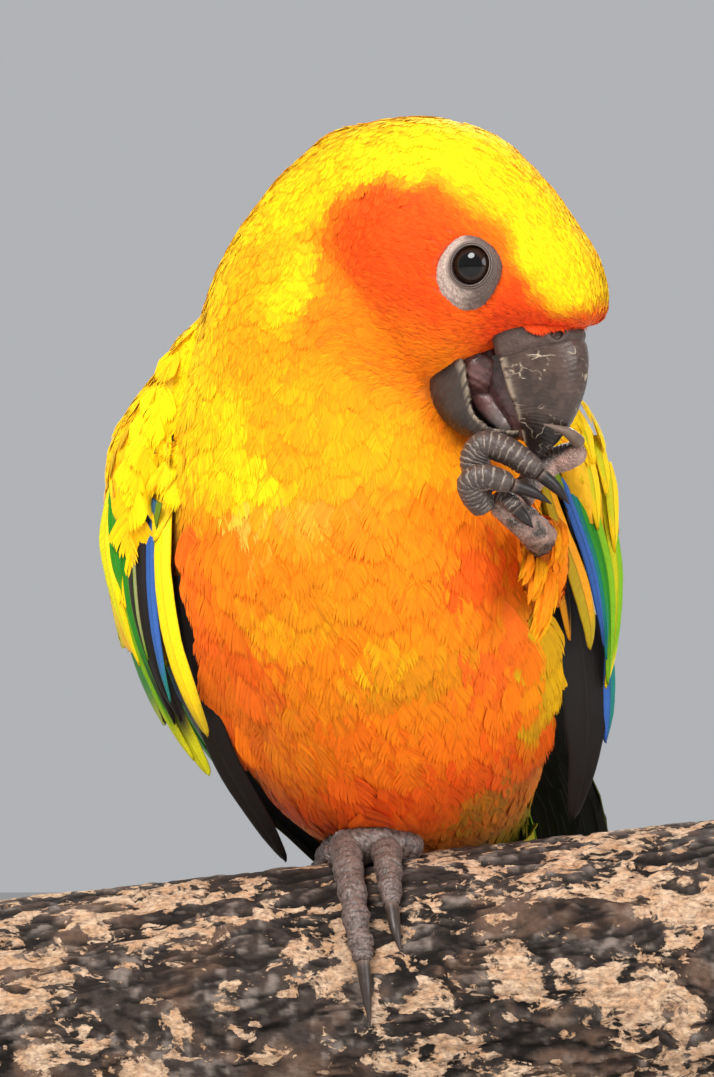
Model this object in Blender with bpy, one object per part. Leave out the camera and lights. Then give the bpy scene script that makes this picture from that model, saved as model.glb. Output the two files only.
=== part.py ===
"""Sun conure on a cut length of branch, as a still, life-size display model on a stand.

All sizes below are real millimetres and become metres when an object is made. +Z is up, the bird faces -Y,
and its left side is at +X. The origin is the centre of the stand's underside.
"""
import math

import bmesh
import bpy
import numpy as np
from mathutils import Matrix

MM = 0.001
GAP = 0.3                    # air kept between two pieces that touch

# Stand and perch
BASE_RADIUS = 79.0
BASE_THICK = 12.0
ROD_RADIUS = 3.5
ROD_PLACES = (-40.0, 40.0)   # along X
PERCH_RADIUS = 25.5
PERCH_LENGTH = 140.0
PERCH_RISE = 6.4             # degrees, towards the bird's left
PERCH_TOP = 140.0            # height of the perch's top under the standing foot
PERCH_BACK = -17.0           # the perch's place along Y, so that base and tail balance

# Bird
TAIL_LENGTH = 138.0
EYE_RADIUS = 4.3
EYE_PLACE = (3.8, 10.6, 2.9)  # an eye's centre in the head: forward, sideways, up
HEAD_MIDDLE = (18.2, -26.0, 90.5)
HEAD_NOD = 35.0              # degrees, bill down
HEAD_TURN = 25.0             # degrees, from a pure side view towards the camera
VANE_THICK = 0.7

BIRD = np.array((0.0, PERCH_BACK, PERCH_TOP))  # the perch's top under the standing foot

# The body's middle line from the nape to the tail: place, half width, depth to the breast, depth to the back
BODY_STATIONS = np.array((
    (6.5, -18.0, 112.0, 4.0, 4.0, 4.0),
    (5.5, -18.0, 108.5, 11.5, 10.0, 10.0),
    (4.0, -17.5, 102.0, 16.0, 14.0, 15.0),
    (1.5, -16.0, 94.0, 19.3, 16.0, 17.5),
    (-1.5, -14.0, 84.0, 22.3, 18.0, 18.5),
    (-2.0, -10.5, 74.0, 25.5, 20.5, 18.5),
    (-1.5, -6.0, 63.0, 29.0, 25.0, 19.5),
    (0.5, -2.0, 50.0, 30.5, 29.0, 21.0),
    (3.0, 4.0, 37.0, 29.7, 30.0, 22.0),
    (6.2, 11.0, 24.0, 26.5, 27.0, 20.0),
    (10.2, 19.0, 13.0, 21.0, 19.0, 16.0),
    (14.0, 27.0, 3.0, 14.5, 10.0, 10.5),
    (17.6, 33.0, -7.0, 11.5, 6.5, 7.0),
    (27.0, 52.0, -48.0, 12.5, 5.0, 4.6),
    (44.0, 96.0, -141.0, 9.0, 4.0, 4.0),
))
SHOULDER = 5                 # the station that distances down the body are counted from
RUMP = 12                    # the station where the torso ends and the tail goes on

# The sleeve that the folded wings lie on, at the same stations: shift along X, half width, both depths
SLEEVE_SIZES = np.array((
    (0.0, 4.0, 4.0, 4.0),
    (0.0, 12.0, 10.0, 10.0),
    (0.0, 16.0, 14.0, 15.0),
    (0.0, 19.3, 16.0, 17.5),
    (0.0, 22.8, 18.5, 19.0),
    (0.0, 26.5, 21.5, 19.5),
    (0.0, 30.6, 26.2, 21.0),
    (0.0, 33.0, 30.5, 22.6),
    (0.2, 32.6, 31.5, 23.8),
    (1.7, 29.2, 28.5, 22.6),
    (3.0, 25.0, 21.0, 19.5),
    (4.4, 21.2, 15.0, 15.2),
    (4.6, 18.2, 12.0, 12.0),
    (1.0, 14.0, 8.0, 7.6),
    (0.0, 9.0, 6.0, 6.0),
))

# The head along its own forward axis: place, its middle's height, reach up, reach down, half width
HEAD_STATIONS = np.array((
    (-30.5, -3.0, 7.0, 7.0, 7.0),
    (-26.0, -2.0, 12.0, 12.0, 12.0),
    (-18.0, -1.0, 17.0, 16.0, 15.5),
    (-9.0, 0.0, 18.6, 17.5, 16.5),
    (-1.0, 0.0, 17.9, 19.0, 15.4),
    (4.5, 0.5, 16.2, 19.6, 13.9),
    (8.5, 1.5, 13.8, 14.0, 12.4),
    (12.0, 3.0, 11.2, 8.6, 11.0),
    (15.5, 4.0, 8.6, 6.4, 9.0),
    (18.6, 4.8, 5.2, 4.0, 6.6),
    (20.8, 5.2, 2.2, 1.8, 3.4),
))


def material(name, colour, roughness, metallic=0.0):
    made = bpy.data.materials.new(name)
    made.use_nodes = True
    shader = made.node_tree.nodes["Principled BSDF"]
    shader.inputs["Base Color"].default_value = (*colour, 1.0)
    shader.inputs["Roughness"].default_value = roughness
    shader.inputs["Metallic"].default_value = metallic
    return made


def clear_scene():
    for obj in list(bpy.data.objects):
        bpy.data.objects.remove(obj)
    for name in ("Sun_conure", "Cutters"):
        collection = bpy.data.collections.new(name)
        bpy.context.scene.collection.children.link(collection)


def place(name, mesh, colour=None, collection="Sun_conure"):
    obj = bpy.data.objects.new(name, mesh)
    bpy.data.collections[collection].objects.link(obj)
    if colour is not None:
        mesh.materials.clear()
        mesh.materials.append(colour)
    return obj


def mesh_of(name, points, faces):
    """A mesh from points in bird millimetres, with its faces turned outwards."""
    mesh = bpy.data.meshes.new(name)
    mesh.from_pydata([tuple(p) for p in (np.asarray(points) + BIRD) * MM], [], [tuple(f) for f in faces])
    bm = bmesh.new()
    bm.from_mesh(mesh)
    bmesh.ops.recalc_face_normals(bm, faces=bm.faces)
    bm.to_mesh(mesh)
    bm.free()
    return mesh


def shade_round(obj, degrees=50.0):
    obj.data.shade_smooth()
    obj.data.set_sharp_from_angle(angle=math.radians(degrees))


def smooth_rows(rows, at):
    """Rows of numbers read between the given ones, on a smooth curve through all of them."""
    rows = np.asarray(rows, float)
    at = np.clip(at, 0, len(rows) - 1)
    i = np.minimum(at.astype(int), len(rows) - 2)
    t = (at - i)[:, None]
    before = rows[np.maximum(i - 1, 0)]
    start = rows[i]
    end = rows[i + 1]
    after = rows[np.minimum(i + 2, len(rows) - 1)]
    return 0.5 * (2 * start + (end - before) * t + (2 * before - 5 * start + 4 * end - after) * t ** 2
                  + (3 * start - before - 3 * end + after) * t ** 3)


def unit(v):
    v = np.asarray(v, float)
    return v / np.linalg.norm(v)


def loft(name, rings):
    """A closed mesh through rings that all have the same number of points."""
    rings = np.asarray(rings)
    count, around = rings.shape[:2]
    faces = []
    for r in range(count - 1):
        for k in range(around):
            here, after = r * around + k, r * around + (k + 1) % around
            faces.append((here, after, after + around, here + around))
    faces.append(tuple(range(around)))
    faces.append(tuple(range((count - 1) * around, count * around)))
    mesh = mesh_of(name, rings.reshape(-1, 3), faces)
    bm = bmesh.new()
    bm.from_mesh(mesh)
    bmesh.ops.triangulate(bm, faces=[f for f in bm.faces if len(f.verts) > 4])
    bm.to_mesh(mesh)
    bm.free()
    return mesh


def tube(name, path, radii, sides=10, grow=0.0, squash=1.0, steps=None):
    """A round limb along a smooth path, as a bevelled curve with caps, made a mesh."""
    path = np.asarray(path, float)
    radii = np.asarray(radii, float)
    if steps is not None:
        at = np.linspace(0, len(path) - 1, steps)
        both = smooth_rows(np.column_stack((path, radii)), at)
        path, radii = both[:, :3], both[:, 3]
    curve = bpy.data.curves.new(name, "CURVE")
    curve.dimensions = "3D"
    curve.bevel_depth = MM
    curve.bevel_resolution = max(0, sides // 2 - 2)
    curve.use_fill_caps = True
    spline = curve.splines.new("POLY")
    spline.points.add(len(path) - 1)
    for point, place_at, radius in zip(spline.points, path, radii):
        point.co = (*((place_at + BIRD) * MM), 1.0)
        point.radius = radius + grow
    holder = bpy.data.objects.new(name, curve)
    bpy.data.collections["Cutters"].objects.link(holder)
    graph = bpy.context.evaluated_depsgraph_get()
    mesh = bpy.data.meshes.new_from_object(holder.evaluated_get(graph))
    bpy.data.objects.remove(holder)
    bm = bmesh.new()
    bm.from_mesh(mesh)
    bmesh.ops.remove_doubles(bm, verts=bm.verts, dist=1e-6)
    bmesh.ops.triangulate(bm, faces=[f for f in bm.faces if len(f.verts) > 4])
    bmesh.ops.recalc_face_normals(bm, faces=bm.faces)
    bm.to_mesh(mesh)
    bm.free()
    return mesh


def ball(name, middle, radii, axes=None, segments=16, rings=10, grow=0.0):
    """An ellipsoid from a sphere primitive."""
    mesh = bpy.data.meshes.new(name)
    bm = bmesh.new()
    bmesh.ops.create_uvsphere(bm, u_segments=segments, v_segments=rings, radius=MM)
    axes = np.eye(3) if axes is None else np.asarray(axes)
    turn = Matrix([list(row) for row in axes.T]).to_4x4()
    size = Matrix.Diagonal([r + grow for r in radii] + [1.0])
    shift = Matrix.Translation((np.asarray(middle) + BIRD) * MM)
    bmesh.ops.transform(bm, matrix=shift @ turn @ size, verts=bm.verts)
    bm.to_mesh(mesh)
    bm.free()
    return mesh


def block(name, middle, size, axes):
    """A box from a cube primitive, used as a cutter."""
    mesh = bpy.data.meshes.new(name)
    bm = bmesh.new()
    bmesh.ops.create_cube(bm, size=1.0)
    turn = Matrix([list(row) for row in np.asarray(axes).T]).to_4x4()
    scale = Matrix.Diagonal([v * MM for v in size] + [1.0])
    shift = Matrix.Translation((np.asarray(middle) + BIRD) * MM)
    bmesh.ops.transform(bm, matrix=shift @ turn @ scale, verts=bm.verts)
    bm.to_mesh(mesh)
    bm.free()
    return mesh


def apply_modifiers(obj):
    graph = bpy.context.evaluated_depsgraph_get()
    mesh = bpy.data.meshes.new_from_object(obj.evaluated_get(graph))
    obj.modifiers.clear()
    obj.data = mesh


def islands(mesh):
    """The mesh's closed pieces, each a list of its vertex numbers, the largest first."""
    bm = bmesh.new()
    bm.from_mesh(mesh)
    bm.verts.ensure_lookup_table()
    seen = set()
    found = []
    for vert in bm.verts:
        if vert.index in seen:
            continue
        piece, waiting = [], [vert]
        seen.add(vert.index)
        while waiting:
            here = waiting.pop()
            piece.append(here.index)
            for edge in here.link_edges:
                other = edge.other_vert(here)
                if other.index not in seen:
                    seen.add(other.index)
                    waiting.append(other)
        found.append(piece)
    bm.free()
    return sorted(found, key=len, reverse=True)


def only(mesh, keep):
    """Deletes all but the given vertices."""
    keep = set(keep)
    bm = bmesh.new()
    bm.from_mesh(mesh)
    bmesh.ops.delete(bm, geom=[v for v in bm.verts if v.index not in keep], context="VERTS")
    bm.to_mesh(mesh)
    bm.free()


def keep_largest(obj):
    pieces = islands(obj.data)
    if len(pieces) > 1:
        only(obj.data, pieces[0])


def tidy_mesh(mesh):
    """Merges points a Boolean left almost on one another, and makes all faces triangles."""
    bm = bmesh.new()
    bm.from_mesh(mesh)
    bmesh.ops.remove_doubles(bm, verts=bm.verts, dist=2e-6)
    bmesh.ops.dissolve_degenerate(bm, edges=bm.edges, dist=2e-6)
    bmesh.ops.triangulate(bm, faces=bm.faces)
    bm.to_mesh(mesh)
    bm.free()


def boolean(obj, meshes, operation, solver="MANIFOLD"):
    """One Boolean of obj with all the given closed meshes, applied, with its helpers removed."""
    helpers = bpy.data.collections.new("Helpers")
    bpy.data.collections["Cutters"].children.link(helpers)
    for mesh in meshes:
        helper = bpy.data.objects.new("Helper", mesh)
        helper.hide_render = True
        helper.display_type = "WIRE"
        helpers.objects.link(helper)
    if operation == "UNION":
        modifier = obj.modifiers.new("Join", "BOOLEAN")
        modifier.operation = operation
        modifier.operand_type = "COLLECTION"
        modifier.collection = helpers
        modifier.solver = solver
    else:
        for helper in helpers.objects:
            modifier = obj.modifiers.new("Cut", "BOOLEAN")
            modifier.operation = operation
            modifier.object = helper
            modifier.solver = solver
    apply_modifiers(obj)
    for helper in list(helpers.objects):
        bpy.data.objects.remove(helper)
    bpy.data.collections.remove(helpers)
    tidy_mesh(obj.data)
    return obj


def fuse(name, meshes, colour):
    obj = place(name, meshes[0], colour)
    boolean(obj, meshes[1:], "UNION")
    keep_largest(obj)
    obj.data.materials.clear()
    obj.data.materials.append(colour)
    return obj


# Body and sleeve: the surfaces that torso, wings and tail coverts are measured from

BODY_SPANS = np.concatenate(([0.0], np.cumsum(np.linalg.norm(np.diff(BODY_STATIONS[:, :3], axis=0), axis=1))))
BODY_SPANS -= BODY_SPANS[SHOULDER]
SLEEVE_STATIONS = BODY_STATIONS.copy()
SLEEVE_STATIONS[:, 0] += SLEEVE_SIZES[:, 0]
SLEEVE_STATIONS[:, 3:] = SLEEVE_SIZES[:, 1:]


def section(form, down):
    """The section this far below the shoulder: middle, side, front, half width and the two depths."""
    at = np.interp([down, down + 1.0, down - 1.0], BODY_SPANS, np.arange(len(BODY_SPANS)))
    here, ahead, behind = smooth_rows(form, at)
    along = unit((ahead - behind)[:3])
    side = unit(np.cross((0.0, -1.0, 0.0), along))
    side *= math.copysign(1.0, side[0])
    front = np.cross(along, side)
    front *= -math.copysign(1.0, front[1])
    return here[:3], side, front, here[3], here[4], here[5]


def on_form(form, down, around, lift, sign=1):
    """A point on a form: around is degrees from the middle of the back towards one side, lift is outwards."""
    middle, side, front, wide, to_breast, to_back = section(form, down)
    across = math.sin(math.radians(around)) * sign
    back = math.cos(math.radians(around))
    deep = to_back if back > 0 else to_breast
    normal = unit(side * across / wide - front * back / deep)
    return middle + side * across * wide - front * back * deep + normal * lift


def mm_per_degree(form, down, around):
    _, _, _, wide, to_breast, to_back = section(form, down)
    turn = math.radians(around)
    deep = to_back if math.cos(turn) > 0 else to_breast
    return math.hypot(wide * math.cos(turn), deep * math.sin(turn)) * math.pi / 180


def plate(name, grid, under):
    """A thin closed vane between two grids of points, split into triangles alike on both faces."""
    grid = np.asarray(grid)
    rows, columns = grid.shape[:2]
    points = np.concatenate((grid.reshape(-1, 3), np.asarray(under).reshape(-1, 3)))
    half = rows * columns
    faces = []
    for r in range(rows - 1):
        for c in range(columns - 1):
            a, b = r * columns + c, r * columns + c + 1
            d, e = a + columns, b + columns
            faces += [(a, b, e), (a, e, d), (half + a, half + e, half + b), (half + a, half + d, half + e)]
    rim = [c for c in range(columns)]
    rim += [r * columns + columns - 1 for r in range(1, rows)]
    rim += [(rows - 1) * columns + c for c in range(columns - 2, -1, -1)]
    rim += [r * columns for r in range(rows - 2, 0, -1)]
    for a, b in zip(rim, rim[1:] + rim[:1]):
        faces += [(a, half + a, half + b), (a, half + b, b)]
    return mesh_of(name, points, faces)


def vane_width(t, blunt):
    """A feather's share of its full width, from root to tip."""
    root = 0.55 + 0.45 * min(1.0, t / 0.35)
    tip = max(0.0, (t - blunt) / (1 - blunt))
    return root * math.sqrt(max(0.004, 1 - tip ** 2))


def vane_on(form, name, start, end, sign, width, lift, tilt,
            blunt=0.7, rows=5, columns=2, end_lift=None, least=-400.0, bunch=0.25):
    """A feather over a form, from start to end as (down, around), with its front edge higher by tilt."""
    top, under = [], []
    end_lift = lift if end_lift is None else end_lift
    for r in range(rows):
        t = r / (rows - 1)
        t += bunch * t * (1 - t)
        down = start[0] + (end[0] - start[0]) * t
        around = start[1] + (end[1] - start[1]) * t ** 0.8
        half = 0.5 * width * vane_width(t, blunt)
        scale = mm_per_degree(form, down, around)
        up = lift + (end_lift - lift) * t
        for c in range(columns):
            across = 2 * c / (columns - 1) - 1
            here = max(around + across * half / scale, least + 2.0 * c)
            outer = up + tilt * (0.5 + across * half / width) + 0.15 * (1 - across ** 2)
            top.append(on_form(form, down, here, outer + VANE_THICK, sign))
            under.append(on_form(form, down, here, outer, sign))
    return plate(name, np.reshape(top, (rows, columns, 3)), np.reshape(under, (rows, columns, 3)))


# Head frame

def head_axes():
    nod, turn = math.radians(HEAD_NOD), math.radians(HEAD_TURN)
    spin = np.array(((math.cos(turn), math.sin(turn), 0), (-math.sin(turn), math.cos(turn), 0), (0, 0, 1)))
    forward = spin @ (math.cos(nod), 0, -math.sin(nod))
    left = spin @ (0, 1, 0)
    top = spin @ (math.sin(nod), 0, math.cos(nod))
    return forward, left, top


FORWARD, LEFT, TOP = head_axes()


def in_head(forward, left, top):
    return np.asarray(HEAD_MIDDLE) + FORWARD * forward + LEFT * left + TOP * top


def ring_in_head(forward, middle, up, down, half, around=16, pinch=0.0):
    """One section of the head, taller than wide, with flatter cheeks."""
    points = []
    for k in range(around):
        turn = 2 * math.pi * k / around
        side, high = math.sin(turn), math.cos(turn)
        reach = up if high > 0 else down
        points.append(in_head(forward - pinch * high, side * half, middle + high * reach))
    return points


def head_mesh(grow=0.0):
    rows = smooth_rows(HEAD_STATIONS, np.linspace(0, len(HEAD_STATIONS) - 1, 12))
    return loft("Head_form", [ring_in_head(f, m, u + grow, d + grow, w + grow) for f, m, u, d, w in rows])


def body_mesh(grow=0.0, steps=17, around=20):
    """Neck and torso as one loft over the stations."""
    downs = np.interp(np.linspace(0, RUMP, steps), np.arange(len(BODY_SPANS)), BODY_SPANS)
    turns = [360.0 * k / around for k in range(around)]
    return loft("Body_form", [[on_form(BODY_STATIONS, down, turn, grow) for turn in turns] for down in downs])


def slab_cutter(name, middle, normal, across, size, thick=GAP):
    """A thin block that parts one piece from the next."""
    normal = unit(normal)
    across = unit(across)
    return block(name, middle, (*size, thick), (across, np.cross(normal, across), normal))


def parts_of(obj, names, colours):
    """Divides a cut object into one object for each closed piece, named by the nearest given place."""
    pieces = islands(obj.data)[:len(names)]
    made = {}
    for piece in pieces:
        mesh = obj.data.copy()
        only(mesh, piece)
        middle = np.mean([v.co for v in mesh.vertices], axis=0) / MM - BIRD
        name = min((n for n in names if n not in made), key=lambda n: np.linalg.norm(middle - names[n]))
        made[name] = place(name, mesh, colours[name])
        mesh.name = name
    bpy.data.objects.remove(obj)
    return made


def cut(obj, meshes):
    boolean(obj, meshes, "DIFFERENCE")
    keep_largest(obj)
    return obj


# Eyes

def eye_middle(sign):
    return in_head(EYE_PLACE[0], sign * EYE_PLACE[1], EYE_PLACE[2])


def eye_axes(sign):
    out = unit(LEFT * sign + FORWARD * 0.16 + TOP * 0.04)
    fore = unit(FORWARD - out * np.dot(FORWARD, out))
    return out, fore, np.cross(out, fore)


def lid_ring(name, middle, axes, profile, around=16):
    """A closed ring round an eye; each profile point is (distance from the eye's axis, height along it)."""
    out, fore, up = axes
    rings = []
    for k in range(around):
        turn = 2 * math.pi * k / around
        spoke = fore * math.cos(turn) + up * math.sin(turn) * LID_STRETCH
        rings.append([middle + spoke * r + out * h - up * LID_DROP * max(0.0, r - 3.6) for r, h in profile])
    rings = np.array(rings)
    count = len(profile)
    faces = [(a * count + b, a * count + (b + 1) % count, ((a + 1) % around) * count + (b + 1) % count,
              ((a + 1) % around) * count + b) for a in range(around) for b in range(count)]
    return mesh_of(name, rings.reshape(-1, 3), faces)


LID_PROFILE = ((2.95, 3.4), (2.95, 4.1), (3.4, 4.4), (4.0, 3.9), (5.0, 2.9), (5.0, 1.6), (4.3, 2.0))
LID_STRETCH = 1.1            # taller than wide
LID_DROP = 0.75              # the bare skin reaches further below the eye than above it


def eye_mesh(sign, grow=0.0):
    return ball("Eye", eye_middle(sign), [EYE_RADIUS] * 3, None, 14, 8, grow=grow)


def make_eyes(colours):
    for side, sign in (("right", -1), ("left", 1)):
        eye = place("eye_" + side, eye_mesh(sign), colours["eye"])
        shade_round(eye)
        ring = lid_ring("Lids", eye_middle(sign), eye_axes(sign), LID_PROFILE)
        ring = place("eyelids_" + side, ring, colours["bare_skin"])
        boolean(ring, [eye_mesh(sign, GAP)], "DIFFERENCE")
        keep_largest(ring)
        shade_round(ring)


def eye_cutters():
    """The room that an eye and its ring need in the head."""
    found = []
    for sign in (-1, 1):
        out, fore, up = eye_axes(sign)
        rings = []
        for height in (1.6 - GAP, 12.0):
            middle = eye_middle(sign) + out * height - up * LID_DROP * 1.4
            rings.append([middle + (fore * math.cos(t) + up * math.sin(t) * LID_STRETCH) * (5.0 + GAP)
                          for t in (2 * math.pi * k / 16 for k in range(16))])
        found.append(loft("Socket", rings))
        found.append(eye_mesh(sign, GAP))
    return found


# Bill: each row is the ridge's forward and height, the cutting edge's forward and height, and the half width

UPPER_BILL = np.array((
    (15.5, 2.2, 9.5, -4.5, 6.3),
    (18.9, 1.6, 12.0, -6.4, 6.5),
    (21.8, 0.0, 14.2, -8.4, 6.2),
    (24.2, -3.4, 16.8, -10.8, 5.5),
    (25.6, -7.4, 19.0, -12.6, 4.6),
    (26.1, -11.4, 20.3, -14.2, 3.5),
    (25.7, -15.0, 22.4, -16.6, 2.1),
    (24.9, -17.9, 24.2, -18.2, 0.6),
))
# The lower bill: forward, rim height, keel height, half width
LOWER_BILL = np.array((
    (4.0, -11.0, -18.6, 5.0),
    (6.5, -11.0, -20.8, 6.0),
    (9.0, -12.0, -21.8, 6.4),
    (11.5, -14.6, -22.0, 6.1),
    (13.5, -16.8, -21.7, 5.5),
    (16.0, -17.7, -20.9, 4.7),
    (18.2, -17.2, -19.6, 3.6),
    (19.8, -16.4, -18.2, 2.4),
    (20.8, -15.6, -16.8, 1.2),
))


def upper_bill_mesh(grow=0.0, steps=13, arch=9):
    rings = []
    rows = smooth_rows(UPPER_BILL, np.linspace(0, len(UPPER_BILL) - 1, steps))
    rows[0, :4] += np.array((-0.75, 0.65, -0.75, 0.65)) * grow
    for ridge_f, ridge_t, edge_f, edge_t, half in rows:
        rise = np.array((ridge_f - edge_f, ridge_t - edge_t))
        long = np.linalg.norm(rise)
        rise /= long
        ring = []
        for k in range(arch):
            turn = math.pi * (k / (arch - 1) - 0.5)
            high = long * max(0.0, math.cos(turn)) ** 0.8 + grow * (2 * math.cos(turn) - 1)
            ring.append((math.sin(turn) * (half + grow), high))
        for k in range(1, 4):
            across = 1 - k / 2
            ring.append((across * (half - 0.6), -grow + long * 0.22 * (1 - across ** 2)))
        rings.append([in_head(edge_f + rise[0] * high, side, edge_t + rise[1] * high) for side, high in ring])
    return loft("Upper_bill", rings)


def lower_bill_mesh(grow=0.0, steps=10, arch=9):
    rings = []
    for forward, rim, keel, half in smooth_rows(LOWER_BILL, np.linspace(0, len(LOWER_BILL) - 1, steps)):
        ring = []
        for k in range(arch):
            turn = math.pi * (k / (arch - 1) - 0.5)
            drop = (rim - keel + grow) * max(0.0, math.cos(turn)) ** 0.7
            ring.append(in_head(forward, math.sin(turn) * (half + grow), rim + grow * 0.5 - drop))
        rings.append(ring)
    return loft("Lower_bill", rings)


def trough_mesh():
    """The hollow of the lower bill, where the tongue lies."""
    rings = []
    for forward, rim, keel, half in smooth_rows(LOWER_BILL, np.linspace(0.6, 6.4, 8)):
        ring = []
        for k in range(9):
            turn = math.pi * (k / 8 - 0.5)
            drop = (rim - keel) * 0.72 * max(0.0, math.cos(turn)) ** 0.7
            ring.append(in_head(forward, math.sin(turn) * (half - 0.9), rim - drop))
        for side in (1.2, 0.4, -0.4, -1.2):
            ring.append(in_head(forward, side * half, rim + 5.0))
        rings.append(ring)
    return loft("Trough", rings)


def mouth_mesh(grow=0.0):
    """The soft inside of the mouth, behind the tongue."""
    return ball("Mouth", in_head(9.5, 0.0, -11.5), (4.2, 5.2, 5.0), (FORWARD, LEFT, TOP), 10, 7, grow=grow)


TONGUE_PATH = ((8.0, -14.0), (11.5, -14.6), (14.8, -15.3), (17.2, -15.8), (18.4, -16.2))


def tongue_mesh(grow=0.0):
    path = [in_head(forward, 0.0, top) for forward, top in TONGUE_PATH]
    return tube("Tongue", path, (2.4, 2.6, 2.5, 2.2, 1.3), sides=10, grow=grow)


def make_bill(colours):
    whole = place("Upper", upper_bill_mesh(), colours["horn"])
    along = unit(FORWARD * 0.78 - TOP * 0.62)
    seam = slab_cutter("Seam", in_head(15.45, 0.0, -2.4) + along * 1.6, along, LEFT, (40.0, 40.0))
    nostrils = []
    for sign in (-1, 1):
        nostrils.append(ball("Nostril", in_head(17.4, sign * 3.6, -0.3), (1.0, 0.8, 1.0), None, 8, 6))
    boolean(whole, [seam] + nostrils, "DIFFERENCE")
    names = {"cere": in_head(13, 0, -1), "bill_upper": in_head(22, 0, -8)}
    made = parts_of(whole, names, {"cere": colours["cere"], "bill_upper": colours["horn"]})
    lower = place("bill_lower", lower_bill_mesh(), colours["horn"])
    cut(lower, [trough_mesh(), upper_bill_mesh(grow=GAP), tongue_mesh(grow=GAP)])
    tongue = place("tongue", tongue_mesh(), colours["tongue"])
    cut(tongue, [upper_bill_mesh(grow=GAP)])
    mouth = place("mouth", mouth_mesh(), colours["tongue"])
    cut(mouth, [upper_bill_mesh(grow=GAP), lower_bill_mesh(grow=GAP), tongue_mesh(grow=GAP)])
    for obj in (*made.values(), lower, tongue, mouth):
        shade_round(obj)


# Legs and feet

def on_perch(degrees, x, lift):
    """A point on the perch's skin, degrees from its top towards the front."""
    radius = PERCH_RADIUS + lift
    turn = math.radians(degrees)
    rise = x * math.tan(math.radians(PERCH_RISE))
    return (x, -radius * math.sin(turn), rise - PERCH_RADIUS + radius * math.cos(turn))


def perch_path(places, radii, sink=0.35):
    return [on_perch(d, x, r - sink) for (d, x), r in zip(places, radii)]


# Each toe has its path, its radii and its claw's path; the standing foot's are (degrees, x) on the perch
STANDING_TOES = {
    "1": (((-4, 6.2), (-16, 7.6), (-30, 8.8)),
          (2.6, 2.3, 1.7),
          ((-30, 8.8), (-40, 9.6), (-49, 10.2))),
    "2": (((8, 4.4), (22, 4.6), (36, 5.0), (46, 5.3)),
          (2.7, 2.4, 2.0, 1.6),
          ((46, 5.3), (55, 5.8), (63, 6.6))),
    "3": (((8, -1.4), (24, -1.4), (42, -0.6), (58, 0.4), (66, 0.9)),
          (3.0, 2.6, 2.3, 2.0, 1.6),
          ((66, 0.9), (76, 1.4), (88, 2.0))),
    "4": (((-4, -2.4), (-20, -4.2), (-38, -5.6), (-52, -6.4)),
          (2.8, 2.4, 2.1, 1.6),
          ((-52, -6.4), (-62, -6.9), (-72, -7.2))),
}
RAISED_TOES = {
    "1": (((22.0, -35.2, 56.0), (23.2, -36.6, 54.9), (24.0, -37.3, 53.9)),
          (1.7, 1.8, 1.5),
          ((24.0, -37.3, 53.9), (25.2, -37.7, 52.6), (26.4, -37.4, 51.2))),
    "2": (((19.0, -34.8, 54.6), (17.4, -36.4, 56.9), (17.1, -37.6, 59.2), (19.0, -38.4, 60.0),
           (22.0, -38.3, 58.7)),
          (2.1, 2.0, 1.9, 1.7, 1.4),
          ((22.0, -38.3, 58.7), (25.6, -37.6, 57.4), (29.0, -36.4, 55.2))),
    "3": (((19.8, -33.0, 57.0), (17.8, -33.8, 60.0), (17.0, -34.4, 62.8), (18.8, -35.0, 65.0),
           (21.6, -35.3, 64.7), (24.6, -35.4, 62.8), (27.2, -35.3, 60.3)),
          (2.0, 1.9, 1.8, 1.7, 1.7, 1.6, 1.4),
          ((27.2, -35.3, 60.3), (30.0, -34.6, 57.6), (31.8, -33.4, 55.0))),
    "4": (((24.6, -30.4, 55.6), (26.6, -28.8, 58.6), (29.6, -27.8, 61.2), (32.4, -28.8, 62.2),
           (33.6, -29.8, 63.6)),
          (2.0, 1.8, 1.7, 1.7, 1.4),
          ((33.6, -29.8, 63.6), (32.6, -33.6, 65.8), (28.2, -35.6, 66.4))),
}
SHANKS = {
    "right": (((4.6, 3.0, 15.0), (3.2, 0.6, 9.5), (2.2, -1.8, 4.6), (1.8, -2.6, 2.9)),
              (3.0, 2.6, 3.4, 3.0)),
    "left": (((29.4, -18.0, 45.6), (28.4, -24.4, 48.6), (26.4, -29.6, 51.0), (23.0, -32.4, 54.0),
              (20.6, -33.4, 56.0)),
             (2.6, 2.7, 3.0, 2.9, 2.2)),
}
THIGHS = {
    "right": ((3.4, -3.0, 10.6), (8.2, 8.0, 6.6)),
    "left": ((29.0, -17.5, 46.0), (3.7, 8.4, 7.6)),
}
# The locks that hang from the raised leg's thigh: each a row of places with half width
THIGH_LOCKS = (
    ((28.6, -21.0, 46.0, 2.0), (29.6, -24.8, 42.5, 2.2), (28.8, -25.6, 38.0, 1.7), (27.5, -25.2, 34.6, 0.6)),
    ((30.0, -18.0, 46.0, 2.0), (31.2, -21.0, 42.0, 2.2), (30.4, -22.4, 38.4, 1.6), (29.4, -22.4, 36.2, 0.6)),
)


def toe_paths(side, number):
    if side == "right":
        toe, radii, claw = STANDING_TOES[number]
        claw_radii = (1.3, 1.0, 0.35)
        return perch_path(toe, radii), radii, perch_path(claw, claw_radii, 0.1), claw_radii
    toe, radii, claw = RAISED_TOES[number]
    return toe, radii, claw, (1.3, 1.0, 0.35)


def toe_mesh(side, number, grow=0.0):
    toe, radii, _, _ = toe_paths(side, number)
    return tube("Toe", toe, radii, sides=8, grow=grow, steps=2 * len(toe) - 2)


def claw_mesh(side, number, grow=0.0):
    _, _, claw, radii = toe_paths(side, number)
    return tube("Claw", claw, radii, sides=6, grow=grow, steps=5)


def shank_mesh(side, grow=0.0):
    path, radii = SHANKS[side]
    return tube("Shank", path, radii, sides=10, grow=grow, steps=6)


def foot_cutters(side):
    found = [shank_mesh(side, GAP)]
    for number in "1234":
        found += [toe_mesh(side, number, GAP), claw_mesh(side, number, GAP)]
    return found


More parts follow.
